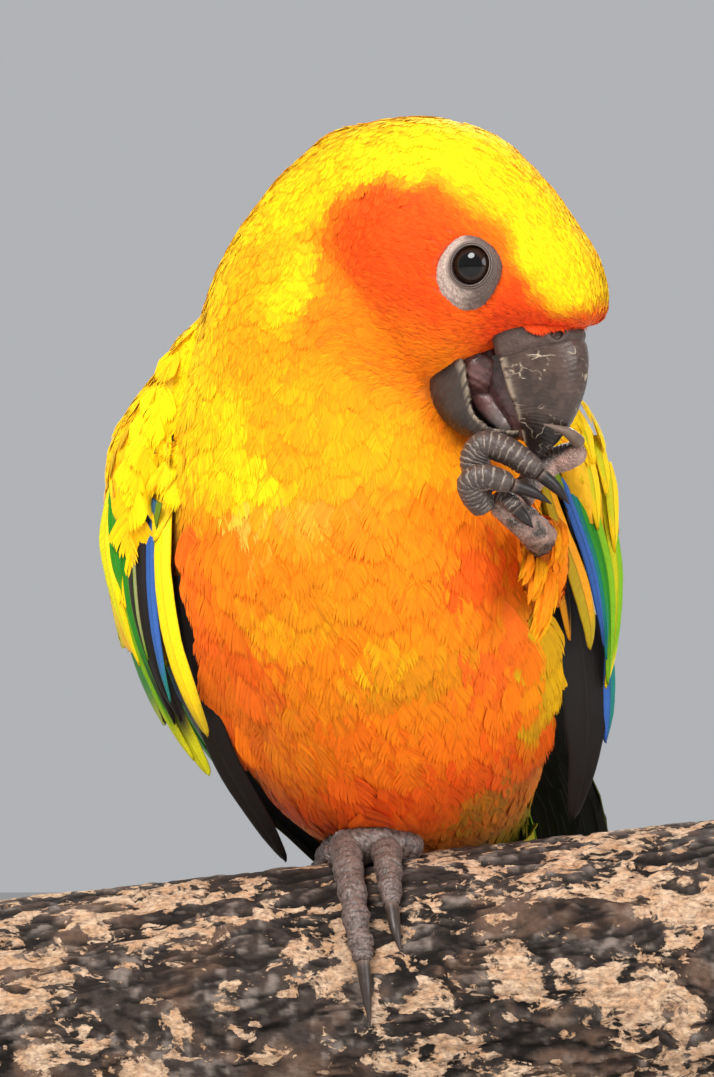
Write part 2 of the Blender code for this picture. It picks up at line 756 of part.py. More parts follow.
def lock_mesh(places, thick=1.3):
    """A flat, tapered lock of feathers along a path, facing forwards."""
    rings = []
    rows = smooth_rows(places, np.linspace(0, len(places) - 1, 6))
    for x, y, z, half in rows:
        share = max(0.35, half / 2.2)
        ring = []
        for side, front in ((-1, 0), (-0.5, 1), (0.5, 1), (1, 0), (0.5, -1), (-0.5, -1)):
            ring.append((x + side * half, y + front * thick * 0.5 * share, z))
        rings.append(ring)
    return loft("Lock", rings)


def thigh_mesh(side, grow=0.0):
    middle, radii = THIGHS[side]
    return ball("Thigh", middle, radii, None, 12, 8, grow=grow)


def make_legs(colours):
    for side in ("right", "left"):
        shank = place("tarsus_" + side, shank_mesh(side), colours["scute"])
        shade_round(shank)
        before = [shank_mesh(side, GAP)]
        for number in "3214":
            toe = place("toe_%s_%s" % (number, side), toe_mesh(side, number), colours["scute"])
            claw = place("claw_%s_%s" % (number, side), claw_mesh(side, number), colours["claw"])
            cut(toe, before + [claw_mesh(side, number, GAP)])
            before.append(toe_mesh(side, number, GAP))
            for obj in (toe, claw):
                shade_round(obj)
        thigh = place("thigh_" + side, thigh_mesh(side), colours["orange"])
        if side == "left":
            boolean(thigh, [lock_mesh(places) for places in THIGH_LOCKS], "UNION")
        cut(thigh, foot_cutters(side))
        shade_round(thigh)


# Wings and tail

def arm_mesh(sign):
    """The shoulder, arm and small coverts of a folded wing; the flight feathers' roots lie under it."""
    downs = np.linspace(-5.0, 35.0, 7)
    shares = np.linspace(0.0, 1.0, 7)
    top, under = [], []
    for down in downs:
        over = min(1.0, max(0.0, (down - 3.0) / 8.0))
        over = over * over * (3 - 2 * over)
        long = min(1.0, max(0.0, (down + 6.0) / 24.0)) ** 0.75
        for share in shares:
            around = 24.0 + share * (66.0 + 27.0 * long)
            edge = max(0.0, 1 - ((around - 80.0) / 48.0) ** 2) ** 0.5
            lower = on_form(BODY_STATIONS, down, around, 0.6, sign)
            raised = on_form(SLEEVE_STATIONS, down, around, 4.7, sign)
            inner = lower * (1 - over) + raised * over
            outer = on_form(SLEEVE_STATIONS, down, around, 5.1 + 2.1 * edge * long, sign)
            start = on_form(BODY_STATIONS, down, around, 1.4, sign)
            outer = start * (1 - long) + outer * long
            top.append(outer)
            under.append(inner)
    shape = (len(downs), len(shares), 3)
    return plate("Arm", np.reshape(top, shape), np.reshape(under, shape))


def make_wing(side, sign, colours):
    coverts = [arm_mesh(sign)]
    for j in range(6):
        start, end = (24.0, 31.0 + 13.6 * j), (46.0 + 0.7 * j, 27.0 + 14.0 * j)
        coverts.append(vane_on(SLEEVE_STATIONS, "Covert", start, end, sign, 10.8, 4.7, 0.75, rows=4))
    for j in range(2):
        start, end = (16.0, 105.0 + 4.0 * j), (46.0 - 5.0 * j, 104.0 + 5.0 * j)
        coverts.append(vane_on(SLEEVE_STATIONS, "Primary_covert", start, end, sign, 6.0, 4.7, 1.0, rows=4,
                                 end_lift=3.7))
    fuse("wing_coverts_" + side, coverts, colours["yellow"])
    inner = []
    for j in range(7):
        start, end = (16.0, 27.0 + 11.7 * j), (60.0 + 3.0 * j, 12.0 + 12.1 * j)
        inner.append(vane_on(SLEEVE_STATIONS, "Secondary", start, end, sign, 10.0, 2.4, 0.8, least=4.0))
    fuse("wing_secondaries_" + side, inner, colours["green"])
    outer = []
    for k, tip in enumerate((96.0, 108.0, 120.0, 131.0, 139.0, 134.0)):
        start, end = (13.5, 80.0 + 5.8 * k), (tip, 22.0 + 6.5 * k)
        outer.append(vane_on(SLEEVE_STATIONS, "Primary", start, end, sign, 7.0, 0.0, 1.0, blunt=0.45, rows=6,
                             end_lift=-0.5, least=5.0, bunch=-0.15))
    fuse("wing_primaries_" + side, outer, colours["blue"])


def on_tail(down, across, lift):
    middle, side, front, _, _, _ = section(BODY_STATIONS, down)
    return middle + side * across - front * (lift - 0.016 * across ** 2)


TAIL_START = float(BODY_SPANS[RUMP])


def tail_vane(pair, sign, rows=5):
    length = TAIL_LENGTH * (1.0, 0.93, 0.83, 0.73, 0.63, 0.53)[pair]
    top, under = [], []
    drop = -0.5 * pair - (0.25 if sign < 0 else 0.0)
    columns = 3 if pair == 0 else 2
    for r in range(rows):
        t = 1 - (1 - r / (rows - 1)) ** 1.2
        half = (5.0 if pair == 0 else 3.6) * vane_width(t, 0.35)
        middle = (2.0 + 0.9 * pair) * (1 - t) + (3.4 + 2.2 * pair) * t ** 0.7 * (1 - 0.35 * t)
        for c in range(columns):
            across = 2 * c / (columns - 1) - 1
            where = sign * max(middle + across * half, -1.5)
            up = 2.6 + drop
            top.append(on_tail(TAIL_START + GAP + length * t, where, up))
            under.append(on_tail(TAIL_START + GAP + length * t, where, up - VANE_THICK))
    shape = (rows, columns, 3)
    return plate("Tail_feather", np.reshape(top, shape), np.reshape(under, shape))


def make_tail(colours):
    root = []
    for step, share in ((GAP, 0.86), (5.0, 0.72), (11.0, 0.4)):
        ring = []
        middle, side, front, wide, to_breast, to_back = section(BODY_STATIONS, TAIL_START + step)
        for k in range(16):
            turn = 2 * math.pi * k / 16
            deep = to_back if math.cos(turn) > 0 else to_breast
            across = math.sin(turn) * wide * share * 0.9
            ring.append(middle + side * across - front * math.cos(turn) * deep * share * 0.62)
        root.append(ring)
    vanes = [loft("Tail_root", root)]
    for pair in range(6):
        for sign in (-1, 1):
            vanes.append(tail_vane(pair, sign))
    fuse("tail_feathers", vanes, colours["olive"])
    upper = []
    for j in range(4):
        around = -54.0 + 36.0 * j
        start, end = (TAIL_START - 9.0, around), (TAIL_START + 26.0, around * 0.8)
        upper.append(vane_on(BODY_STATIONS, "Upper_covert", start, end, 1, 10.0, 0.3, 0.7, rows=4))
    for j in range(2):
        around = -16.0 + 32.0 * j
        start, end = (TAIL_START - 2.0, around), (TAIL_START + 42.0, around * 0.7)
        upper.append(vane_on(BODY_STATIONS, "Upper_covert", start, end, 1, 9.5, 0.3, 0.6, rows=4,
                             end_lift=-0.1))
    cut(fuse("tail_coverts_upper", upper, colours["olive"]), [body_mesh(grow=GAP)])
    under = []
    for j in range(4):
        around = 138.0 + 28.0 * j
        start, end = (TAIL_START - 8.0, around), (TAIL_START + 30.0, 180 + (around - 180) * 0.8)
        under.append(vane_on(BODY_STATIONS, "Under_covert", start, end, 1, 10.0, 0.5, 0.7, rows=4,
                             end_lift=1.0))
    for j in range(2):
        around = 165.0 + 30.0 * j
        start, end = (TAIL_START - 2.0, around), (TAIL_START + 48.0, 180 + (around - 180) * 0.6)
        under.append(vane_on(BODY_STATIONS, "Under_covert", start, end, 1, 9.5, 0.5, 0.6, rows=4,
                             end_lift=0.9))
    cut(fuse("tail_coverts_under", under, colours["olive"]), [body_mesh(grow=GAP)])


# Perch and stand

def perch_mesh():
    """A length of branch, slightly bent and unevenly round, with cut ends."""
    rings = []
    for x in np.linspace(-PERCH_LENGTH / 2, PERCH_LENGTH / 2, 9):
        ring = []
        for k in range(20):
            turn = 2 * math.pi * k / 20
            uneven = 0.5 * math.sin(2 * turn + 0.02 * x) + 0.45 * math.sin(3 * turn + 0.05 * x + 1.0)
            uneven += 0.35 * math.sin(5 * turn + 0.09 * x)
            radius = PERCH_RADIUS + uneven * (0.5 - 0.5 * math.cos(turn))
            rise = x * math.tan(math.radians(PERCH_RISE))
            ring.append((x, -radius * math.sin(turn), rise - PERCH_RADIUS + radius * math.cos(turn)))
        rings.append(ring)
    return loft("Perch", rings)


def rod_reach(x):
    """Where a rod's top and foot lie, in bird millimetres: just inside the perch and inside the base."""
    top = x * math.tan(math.radians(PERCH_RISE)) - 2 * PERCH_RADIUS + 5.0
    return top, BASE_THICK - 6.0 - PERCH_TOP


def rod_mesh(x, grow=0.0):
    top, foot = rod_reach(x)
    rings = []
    for height in (foot - grow, top + grow):
        rings.append([(x + (ROD_RADIUS + grow) * math.cos(t), (ROD_RADIUS + grow) * math.sin(t), height)
                      for t in (2 * math.pi * k / 16 for k in range(16))])
    return loft("Rod", rings)


def make_stand(colours):
    perch = place("perch", perch_mesh(), colours["bark"])
    boolean(perch, foot_cutters("right") + [rod_mesh(x, GAP) for x in ROD_PLACES], "DIFFERENCE")
    keep_largest(perch)
    shade_round(perch, 40.0)
    mesh = bpy.data.meshes.new("Base")
    bm = bmesh.new()
    bmesh.ops.create_cone(bm, cap_ends=True, segments=36, radius1=BASE_RADIUS * MM, radius2=BASE_RADIUS * MM,
                          depth=BASE_THICK * MM, matrix=Matrix.Translation((0, 0, BASE_THICK * MM / 2)))
    top_rim = [e for e in bm.edges if all(v.co.z > BASE_THICK * MM * 0.9 for v in e.verts)]
    bmesh.ops.bevel(bm, geom=top_rim, offset=1.4 * MM, segments=1, affect="EDGES", profile=0.5)
    bm.to_mesh(mesh)
    bm.free()
    base = place("stand_base", mesh, colours["stand"])
    boolean(base, [rod_mesh(x, GAP) for x in ROD_PLACES], "DIFFERENCE")
    shade_round(base, 40.0)
    for side, x in zip(("right", "left"), ROD_PLACES):
        rod = place("stand_rod_" + side, rod_mesh(x), colours["rod"])
        shade_round(rod, 40.0)


# Head, neck and torso

def make_body(colours):
    whole = place("Whole", body_mesh(), colours["orange"])
    boolean(whole, [head_mesh()], "UNION")
    keep_largest(whole)
    head_base = in_head(-11.0, 0.0, -8.0)
    neck_base, side, front = section(BODY_STATIONS, -4.0)[:3]
    neck_up = np.cross(side, front)
    cuts = [slab_cutter("Head_cut", head_base, FORWARD * 0.61 + TOP * 0.79, LEFT, (60.0, 56.0)),
            slab_cutter("Neck_cut", neck_base, neck_up, side, (90.0, 90.0))]
    boolean(whole, cuts, "DIFFERENCE")
    names = {"head": in_head(3, 0, 3), "neck": BODY_STATIONS[3, :3], "torso": BODY_STATIONS[8, :3]}
    made = parts_of(whole, names, {n: colours["yellow" if n == "neck" else "orange"] for n in names})
    bill = [upper_bill_mesh(grow=GAP), lower_bill_mesh(grow=GAP)]
    cut(made["head"], eye_cutters() + bill + [tongue_mesh(grow=GAP), mouth_mesh(grow=GAP)])
    limbs = [thigh_mesh("right", GAP), thigh_mesh("left", GAP), shank_mesh("left", GAP)]
    cut(made["torso"], limbs + foot_cutters("right") + [lower_bill_mesh(grow=GAP), tongue_mesh(grow=GAP)])
    for obj in made.values():
        shade_round(obj)


def main():
    clear_scene()
    colours = {
        "yellow": material("Yellow_feather", (0.85, 0.55, 0.02), 0.7),
        "orange": material("Orange_feather", (0.85, 0.22, 0.02), 0.7),
        "green": material("Green_feather", (0.10, 0.35, 0.04), 0.6),
        "blue": material("Blue_feather", (0.02, 0.07, 0.28), 0.5),
        "olive": material("Olive_feather", (0.22, 0.24, 0.04), 0.6),
        "eye": material("Eye", (0.012, 0.007, 0.005), 0.08),
        "bare_skin": material("Bare_skin", (0.48, 0.40, 0.38), 0.55),
        "cere": material("Cere", (0.16, 0.13, 0.12), 0.5),
        "horn": material("Bill_horn", (0.045, 0.035, 0.032), 0.35),
        "tongue": material("Tongue", (0.11, 0.07, 0.07), 0.4),
        "scute": material("Scute", (0.13, 0.11, 0.11), 0.5),
        "claw": material("Claw_horn", (0.05, 0.045, 0.045), 0.3),
        "bark": material("Bark", (0.10, 0.08, 0.07), 0.9),
        "stand": material("Stand_wood", (0.07, 0.045, 0.03), 0.45),
        "rod": material("Rod_metal", (0.35, 0.34, 0.33), 0.35, 1.0),
    }
    make_body(colours)
    make_eyes(colours)
    make_bill(colours)
    make_legs(colours)
    make_wing("right", -1, colours)
    make_wing("left", 1, colours)
    make_tail(colours)
    make_stand(colours)


main()
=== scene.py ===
import math

import bpy
import numpy as np
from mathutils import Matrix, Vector
from mathutils.bvhtree import BVHTree
from mathutils.kdtree import KDTree


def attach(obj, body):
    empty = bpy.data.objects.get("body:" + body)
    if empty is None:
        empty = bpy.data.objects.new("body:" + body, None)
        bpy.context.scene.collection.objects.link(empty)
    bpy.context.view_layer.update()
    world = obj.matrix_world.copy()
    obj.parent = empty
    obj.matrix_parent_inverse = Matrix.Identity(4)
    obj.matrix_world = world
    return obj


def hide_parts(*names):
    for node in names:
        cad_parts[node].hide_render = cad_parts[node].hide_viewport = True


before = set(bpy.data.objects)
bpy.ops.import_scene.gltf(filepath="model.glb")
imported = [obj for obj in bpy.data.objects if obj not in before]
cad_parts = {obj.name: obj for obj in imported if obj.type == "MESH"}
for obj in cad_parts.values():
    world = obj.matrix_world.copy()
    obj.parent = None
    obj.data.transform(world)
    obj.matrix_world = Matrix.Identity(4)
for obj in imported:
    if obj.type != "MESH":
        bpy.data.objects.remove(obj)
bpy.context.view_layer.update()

mm = 0.001
fullTurn = 2 * math.pi
bothSides = (("right", -1), ("left", 1))
birdPlace = np.array((0.0, -17.0, 140.0))  # the perch's top under the standing foot, in world millimetres

# the body's middle line: place, half width, depth to the breast, depth to the back
bodyStations = np.array((
    (6.5, -18.0, 112.0, 4.0, 4.0, 4.0),
    (5.5, -18.0, 108.5, 11.5, 10.0, 10.0),
    (4.0, -17.5, 102.0, 16.0, 14.0, 15.0),
    (1.5, -16.0, 94.0, 19.3, 16.0, 17.5),
    (-1.5, -14.0, 84.0, 22.3, 18.0, 18.5),
    (-2.0, -10.5, 74.0, 25.5, 20.5, 18.5),
    (-1.5, -6.0, 63.0, 29.0, 25.0, 19.5),
    (0.5, -2.0, 50.0, 30.5, 29.0, 21.0),
    (3.0, 4.0, 37.0, 29.7, 30.0, 22.0),
    (6.2, 11.0, 24.0, 26.5, 27.0, 20.0),
    (10.2, 19.0, 13.0, 21.0, 19.0, 16.0),
    (14.0, 27.0, 3.0, 14.5, 10.0, 10.5),
    (17.6, 33.0, -7.0, 11.5, 6.5, 7.0),
    (27.0, 52.0, -48.0, 12.5, 5.0, 4.6),
    (44.0, 96.0, -141.0, 9.0, 4.0, 4.0),
))
# the sleeve that the folded wings lie on: shift along X, half width, both depths
sleeveSizes = np.array((
    (0.0, 4.0, 4.0, 4.0),
    (0.0, 12.0, 10.0, 10.0),
    (0.0, 16.0, 14.0, 15.0),
    (0.0, 19.3, 16.0, 17.5),
    (0.0, 22.8, 18.5, 19.0),
    (0.0, 26.5, 21.5, 19.5),
    (0.0, 30.6, 26.2, 21.0),
    (0.0, 33.0, 30.5, 22.6),
    (0.2, 32.6, 31.5, 23.8),
    (1.7, 29.2, 28.5, 22.6),
    (3.0, 25.0, 21.0, 19.5),
    (4.4, 21.2, 15.0, 15.2),
    (4.6, 18.2, 12.0, 12.0),
    (1.0, 14.0, 8.0, 7.6),
    (0.0, 9.0, 6.0, 6.0),
))
# the head along its forward axis: place, its middle's height, reach up, reach down, half width
headStations = np.array((
    (-30.5, -3.0, 7.0, 7.0, 7.0),
    (-26.0, -2.0, 12.0, 12.0, 12.0),
    (-18.0, -1.0, 17.0, 16.0, 15.5),
    (-9.0, 0.0, 18.6, 17.5, 16.5),
    (-1.0, 0.0, 17.9, 19.0, 15.4),
    (4.5, 0.5, 16.2, 19.6, 13.9),
    (8.5, 1.5, 13.8, 14.0, 12.4),
    (12.0, 3.0, 11.2, 8.6, 11.0),
    (15.5, 4.0, 8.6, 6.4, 9.0),
    (18.6, 4.8, 5.2, 4.0, 6.6),
    (20.8, 5.2, 2.2, 1.8, 3.4),
))
headMiddle = np.array((18.2, -26.0, 90.5))
headNod = 35.0
headTurn = 25.0


# small helpers

def tint(red, green, blue):
    share = np.array((red, green, blue)) / 255.0
    return np.where(share <= 0.04045, share / 12.92, ((share + 0.055) / 1.055) ** 2.4)


def unitRows(v):
    v = np.asarray(v, float)
    return v / np.maximum(np.linalg.norm(v, axis=-1, keepdims=True), 1e-9)


def ramp(value, low, high):
    share = np.clip((np.asarray(value, float) - low) / (high - low), 0.0, 1.0)
    return share * share * (3 - 2 * share)


def mix(first, second, share):
    return first * (1 - share) + second * share


def blend(first, second, share):
    # two colours, or rows of colours, mixed by one share for each row
    return mix(first, second, np.asarray(share, float)[..., None])


def turnsOf(count):
    return np.linspace(0, fullTurn, count, endpoint=False)


def spansOf(path):
    # the distance along a path at each of its points
    return np.concatenate(([0.0], np.cumsum(np.linalg.norm(np.diff(path, axis=0), axis=1))))


def smoothRows(rows, at):
    # rows read at fractional numbers, on a smooth curve through them
    rows = np.asarray(rows, float)
    at = np.clip(np.asarray(at, float), 0, len(rows) - 1)
    i = np.minimum(at.astype(int), len(rows) - 2)
    t = (at - i)[:, None]
    before = rows[np.maximum(i - 1, 0)]
    start = rows[i]
    end = rows[i + 1]
    after = rows[np.minimum(i + 2, len(rows) - 1)]
    return 0.5 * (2 * start + (end - before) * t + (2 * before - 5 * start + 4 * end - after) * t ** 2
                  + (3 * start - before - 3 * end + after) * t ** 3)


def hashed(cell, seed):
    mask = 0xffffffff
    n = (cell[..., 0] * 374761393 + cell[..., 1] * 668265263 + cell[..., 2] * 1442695041 + seed * 974634777) & mask
    n = ((n ^ (n >> 13)) * 1274126177) & mask
    n = ((n ^ (n >> 15)) * 2246822519) & mask
    return ((n ^ (n >> 16)) & mask) / 4294967295.0


def valueNoise(points, seed):
    cell = np.floor(points).astype(np.int64)
    f = points - cell
    f = f * f * (3 - 2 * f)
    total = np.zeros(points.shape[:-1])
    for corner in range(8):
        step = np.array((corner & 1, corner >> 1 & 1, corner >> 2 & 1))
        weight = np.prod(np.where(step, f, 1 - f), axis=-1)
        total += weight * hashed(cell + step, seed)
    return total


def fractal(points, size, seed, octaves=4):
    # cloudy noise from 0 to 1, its largest lumps of the given size in millimetres
    points = np.asarray(points, float) / size
    total, weight, full = 0.0, 1.0, 0.0
    for octave in range(octaves):
        total = total + weight * valueNoise(points * 2 ** octave + 17.3 * octave, seed + octave)
        full += weight
        weight *= 0.5
    return total / full


def cellGap(points, size, seed):
    # small scales of the given size: 0 on the line between two, larger inside
    points = np.asarray(points, float) / size
    cell = np.floor(points).astype(np.int64)
    nearest = np.full(points.shape[:-1], 9.0)
    second = nearest.copy()
    for dx in (-1, 0, 1):
        for dy in (-1, 0, 1):
            for dz in (-1, 0, 1):
                other = cell + np.array((dx, dy, dz))
                spot = other + 0.15 + 0.7 * np.stack([hashed(other, seed + k) for k in range(3)], axis=-1)
                away = np.linalg.norm(points - spot, axis=-1)
                closer = away < nearest
                second = np.where(closer, nearest, np.minimum(second, away))
                nearest = np.where(closer, away, nearest)
    return second - nearest


# forms: body, sleeve and head

bodySpans = spansOf(bodyStations[:, :3])
bodySpans -= bodySpans[5]
tailStart = float(bodySpans[12])
sleeveStations = bodyStations.copy()
sleeveStations[:, 0] += sleeveSizes[:, 0]
sleeveStations[:, 3:] = sleeveSizes[:, 1:]


def section(form, down):
    # a form's sizes and directions at distances down the body
    down = np.asarray(down, float).ravel()
    count = np.arange(len(bodySpans))
    here = smoothRows(form, np.interp(down, bodySpans, count))
    ahead = smoothRows(form, np.interp(down + 1.0, bodySpans, count))
    behind = smoothRows(form, np.interp(down - 1.0, bodySpans, count))
    along = unitRows((ahead - behind)[:, :3])
    side = unitRows(np.cross(np.array((0.0, -1.0, 0.0)), along))
    side *= np.sign(side[:, :1])
    front = np.cross(along, side)
    front *= -np.sign(front[:, 1:2])
    return here, side, front, along


def onForm(form, down, around, lift, sign=1.0):
    # places over a form: distance down the body, degrees from the middle of the back, height over the surface
    down, around, lift = np.broadcast_arrays(down, around, lift)
    shape = down.shape
    here, side, front, _ = section(form, down)
    turn = np.radians(around.ravel().astype(float))
    across = (np.sin(turn) * sign)[:, None]
    back = np.cos(turn)[:, None]
    wide = here[:, 3:4]
    deep = np.where(back > 0, here[:, 5:6], here[:, 4:5])
    normal = unitRows(side * across / wide - front * back / deep)
    points = here[:, :3] + side * across * wide - front * back * deep + normal * lift.reshape(-1, 1)
    return points.reshape(shape + (3,))


def mmPerDegree(form, down, around):
    here = section(form, down)[0]
    turn = np.radians(np.asarray(around, float).ravel())
    deep = np.where(np.cos(turn) > 0, here[:, 5], here[:, 4])
    return np.hypot(here[:, 3] * np.cos(turn), deep * np.sin(turn)) * math.pi / 180


lineDowns = np.linspace(bodySpans[0], bodySpans[-1], 260)
lineHere, lineSide, lineFront, lineAlong = section(bodyStations, lineDowns)


def bodyPlace(points):
    # how far down the body a point lies, degrees from the middle of the back, and share of the form's radius
    best = np.empty(len(points), int)
    for start in range(0, len(points), 20000):
        part = points[start:start + 20000]
        best[start:start + 20000] = np.argmin(((part[:, None] - lineHere[None, :, :3]) ** 2).sum(-1), axis=1)
    offset = points - lineHere[best, :3]
    across = (offset * lineSide[best]).sum(-1)
    front = (offset * lineFront[best]).sum(-1)
    deep = np.where(front > 0, lineHere[best, 4], lineHere[best, 5])
    radius = np.hypot(across / lineHere[best, 3], front / deep)
    around = np.degrees(np.arctan2(across / lineHere[best, 3], -front / deep))
    return lineDowns[best], around, radius, lineAlong[best]


nod, turnAngle = math.radians(headNod), math.radians(headTurn)
spin = np.array(((math.cos(turnAngle), math.sin(turnAngle), 0),
                 (-math.sin(turnAngle), math.cos(turnAngle), 0), (0, 0, 1)))
forward = spin @ (math.cos(nod), 0, -math.sin(nod))
left = spin @ (0, 1, 0)
top = spin @ (math.sin(nod), 0, math.cos(nod))


def inHead(f, l, t):
    f, l, t = np.broadcast_arrays(f, l, t)
    return headMiddle + f[..., None] * forward + l[..., None] * left + t[..., None] * top


def headPlace(points):
    offset = points - headMiddle
    return offset @ forward, offset @ left, offset @ top


def eyeAxes(sign):
    out = unitRows(left * sign + forward * 0.16 + top * 0.04)
    fore = unitRows(forward - out * np.dot(forward, out))
    return out, fore, np.cross(out, fore) * -sign


eyeRadius = 4.3
eyePlace = (3.8, 10.6, 2.9)


def ringReach(turn):
    # the bare ring's reach from the eye's axis: widest below and behind the eye; turn is counted from the bill upwards
    turn = np.asarray(turn, float)
    below, hind = np.clip(-np.sin(turn), 0, 1), np.clip(-np.cos(turn), 0, 1)
    return 3.95 + 2.5 * below ** 1.6 + 0.55 * hind ** 1.3 - 0.5 * np.clip(np.sin(turn), 0, 1)


def eyeMiddle(sign):
    return inHead(eyePlace[0], sign * eyePlace[1], eyePlace[2])


def fromEye(points, sign):
    # height along the eye's axis, distance from the axis, and the bare ring's reach there
    out, fore, up = eyeAxes(sign)
    offset = points - eyeMiddle(sign)
    ahead, high = offset @ fore, offset @ up
    return offset @ out, np.hypot(ahead, high), ringReach(np.arctan2(high, ahead))


# meshes and materials

shown = []


def addNode(tree, kind, inputs, **settings):
    # a shader node, its inputs set to values or linked from other nodes' outputs
    made = tree.nodes.new("ShaderNode" + kind)
    for name, value in settings.items():
        setattr(made, name, value)
    for name, value in inputs.items():
        if isinstance(value, bpy.types.NodeSocket):
            tree.links.new(value, made.inputs[name])
        else:
            made.inputs[name].default_value = value
    return made.outputs


def surface(name, roughness, grain=0.12, grainScale=500.0, bump=0.0, bumpScale=900.0, stripes=False, **sockets):
    # the mesh's own colour with a fine grain; stripes runs the grain along the barbs map instead of through space
    made = bpy.data.materials.new(name)
    made.use_nodes = True
    tree = made.node_tree
    shader = tree.nodes["Principled BSDF"]
    shader.inputs["Roughness"].default_value = roughness
    for socket, value in sockets.items():
        shader.inputs[socket.replace("_", " ")].default_value = value
    place = addNode(tree, "UVMap", {}, uv_map="barbs")[0] if stripes else addNode(tree, "TexCoord", {})["Object"]
    paint = addNode(tree, "Attribute", {}, attribute_name="plume")["Color"]
    noise = addNode(tree, "TexNoise", {"Vector": place, "Scale": grainScale, "Detail": 4.0})[0]
    span = addNode(tree, "MapRange", {"Value": noise, "From Min": 0.3, "From Max": 0.7, "To Min": 1.0 - grain,
                                      "To Max": 1.0 + grain})["Result"]
    tone = addNode(tree, "VectorMath", {0: paint, "Scale": span}, operation="SCALE")["Vector"]
    tree.links.new(tone, shader.inputs["Base Color"])
    if bump:
        fine = addNode(tree, "TexNoise", {"Vector": place, "Scale": bumpScale, "Detail": 6.0})[0]
        relief = addNode(tree, "Bump", {"Strength": bump, "Distance": 0.0004, "Height": fine})
        tree.links.new(relief["Normal"], shader.inputs["Normal"])
    return made


def meshFrom(name, points, faces, colour, maps=()):
    # points in bird millimetres, faces as rows of three numbers, maps as (name, one pair for each point)
    points = (np.asarray(points, float) + birdPlace) * mm
    faces = np.asarray(faces, np.int32)
    mesh = bpy.data.meshes.new(name)
    sides = faces.shape[1]
    mesh.vertices.add(len(points))
    mesh.vertices.foreach_set("co", points.astype(np.float32).ravel())
    mesh.loops.add(faces.size)
    mesh.loops.foreach_set("vertex_index", faces.ravel())
    mesh.polygons.add(len(faces))
    mesh.polygons.foreach_set("loop_start", np.arange(0, faces.size, sides, dtype=np.int32))
    mesh.polygons.foreach_set("use_smooth", np.ones(len(faces), bool))
    mesh.update(calc_edges=True)
    paintMesh(mesh, colour)
    for mapName, pairs in maps:
        layer = mesh.uv_layers.new(name=mapName)
        layer.uv.foreach_set("vector", np.asarray(pairs, np.float32)[faces.ravel()].ravel())
    mesh.validate()
    return mesh


def paintMesh(mesh, colour):
    colour = np.broadcast_to(np.asarray(colour, float), (len(mesh.vertices), 3))
    layer = mesh.color_attributes.new("plume", "FLOAT_COLOR", "POINT")
    full = np.ones((len(colour), 4), np.float32)
    full[:, :3] = np.clip(colour, 0.0, 1.0)
    layer.data.foreach_set("color", full.ravel())


def pointsOf(mesh):
    points = np.empty(len(mesh.vertices) * 3, np.float32)
    mesh.vertices.foreach_get("co", points)
    return points.reshape(-1, 3).astype(float) / mm - birdPlace


def addPiece(name, points, faces, colour, material, replaced=(), maps=()):
    piece = bpy.data.objects.new(name, meshFrom(name, points, faces, colour, maps))
    bpy.context.scene.collection.objects.link(piece)
    keepPiece(piece, material, replaced)


def keepPiece(piece, material, replaced=()):
    piece.data.materials.clear()
    piece.data.materials.append(material)
    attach(piece, "root")
    if replaced:
        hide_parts(*replaced)
    shown.append(piece)


def gridFaces(rows, columns, closed=True):
    r = np.arange(rows - 1)[:, None]
    c = np.arange(columns if closed else columns - 1)[None, :]
    a = r * columns + c
    b = r * columns + (c + 1) % columns
    quads = np.stack((a, b, b + columns, a + columns), axis=-1).reshape(-1, 4)
    return np.concatenate((quads[:, (0, 1, 2)], quads[:, (0, 2, 3)]))


def turnedOut(points, faces):
    # the faces of a closed surface, turned round where they point inwards
    a, b, c = (points[faces[:, k]] for k in range(3))
    return faces[:, ::-1] if np.einsum("ij,ij->", a, np.cross(b, c)) < 0 else faces


def closedLoft(rings):
    # a closed surface through rings with a fan at both ends, its faces turned outwards
    rings = np.asarray(rings, float)
    rows, columns = rings.shape[:2]
    points = np.concatenate((rings.reshape(-1, 3), [rings[0].mean(0)], [rings[-1].mean(0)]))
    ring = np.arange(columns)
    after = (ring + 1) % columns
    first = np.stack((np.full(columns, rows * columns), after, ring), axis=-1)
    last = np.stack((np.full(columns, rows * columns + 1), ring + (rows - 1) * columns,
                     after + (rows - 1) * columns), axis=-1)
    return points, turnedOut(points, np.concatenate((gridFaces(rows, columns), first, last)))


def normalsOf(points, faces):
    a, b, c = (points[faces[:, k]] for k in range(3))
    flat = np.cross(b - a, c - a)
    total = np.zeros_like(points)
    for k in range(3):
        np.add.at(total, faces[:, k], flat)
    return unitRows(total)


def frameAlong(path):
    # a side and an up direction at every point of a path, turned as little as possible from one to the next
    ahead = unitRows(np.gradient(path, axis=0))
    side = np.zeros_like(path)
    start = np.cross(ahead[0], (0.13, 0.2, 1.0))
    side[0] = unitRows(start)
    for k in range(1, len(path)):
        side[k] = unitRows(side[k - 1] - ahead[k] * np.dot(side[k - 1], ahead[k]))
    return ahead, side, np.cross(ahead, side)


# plumage colours

plumeLook = {
    "crown": tint(255, 208, 0),
    "nape": tint(255, 204, 0),
    "face": tint(238, 70, 4),
    "lores": tint(232, 56, 4),
    "cheek": tint(252, 122, 4),
    "throat": tint(252, 128, 2),
    "upperBreast": tint(255, 158, 0),
    "breast": tint(250, 124, 2),
    "gold": tint(232, 128, 0),
    "olive": tint(206, 132, 2),
    "belly": tint(232, 76, 2),
    "flame": tint(248, 96, 20),
    "lowerBelly": tint(242, 128, 4),
    "vent": tint(140, 118, 4),
    "yellow": tint(255, 204, 0),
    "pale": tint(244, 186, 62),
    "mantle": tint(255, 204, 0),
    "rump": tint(196, 168, 6),
    "green": tint(46, 122, 14),
}
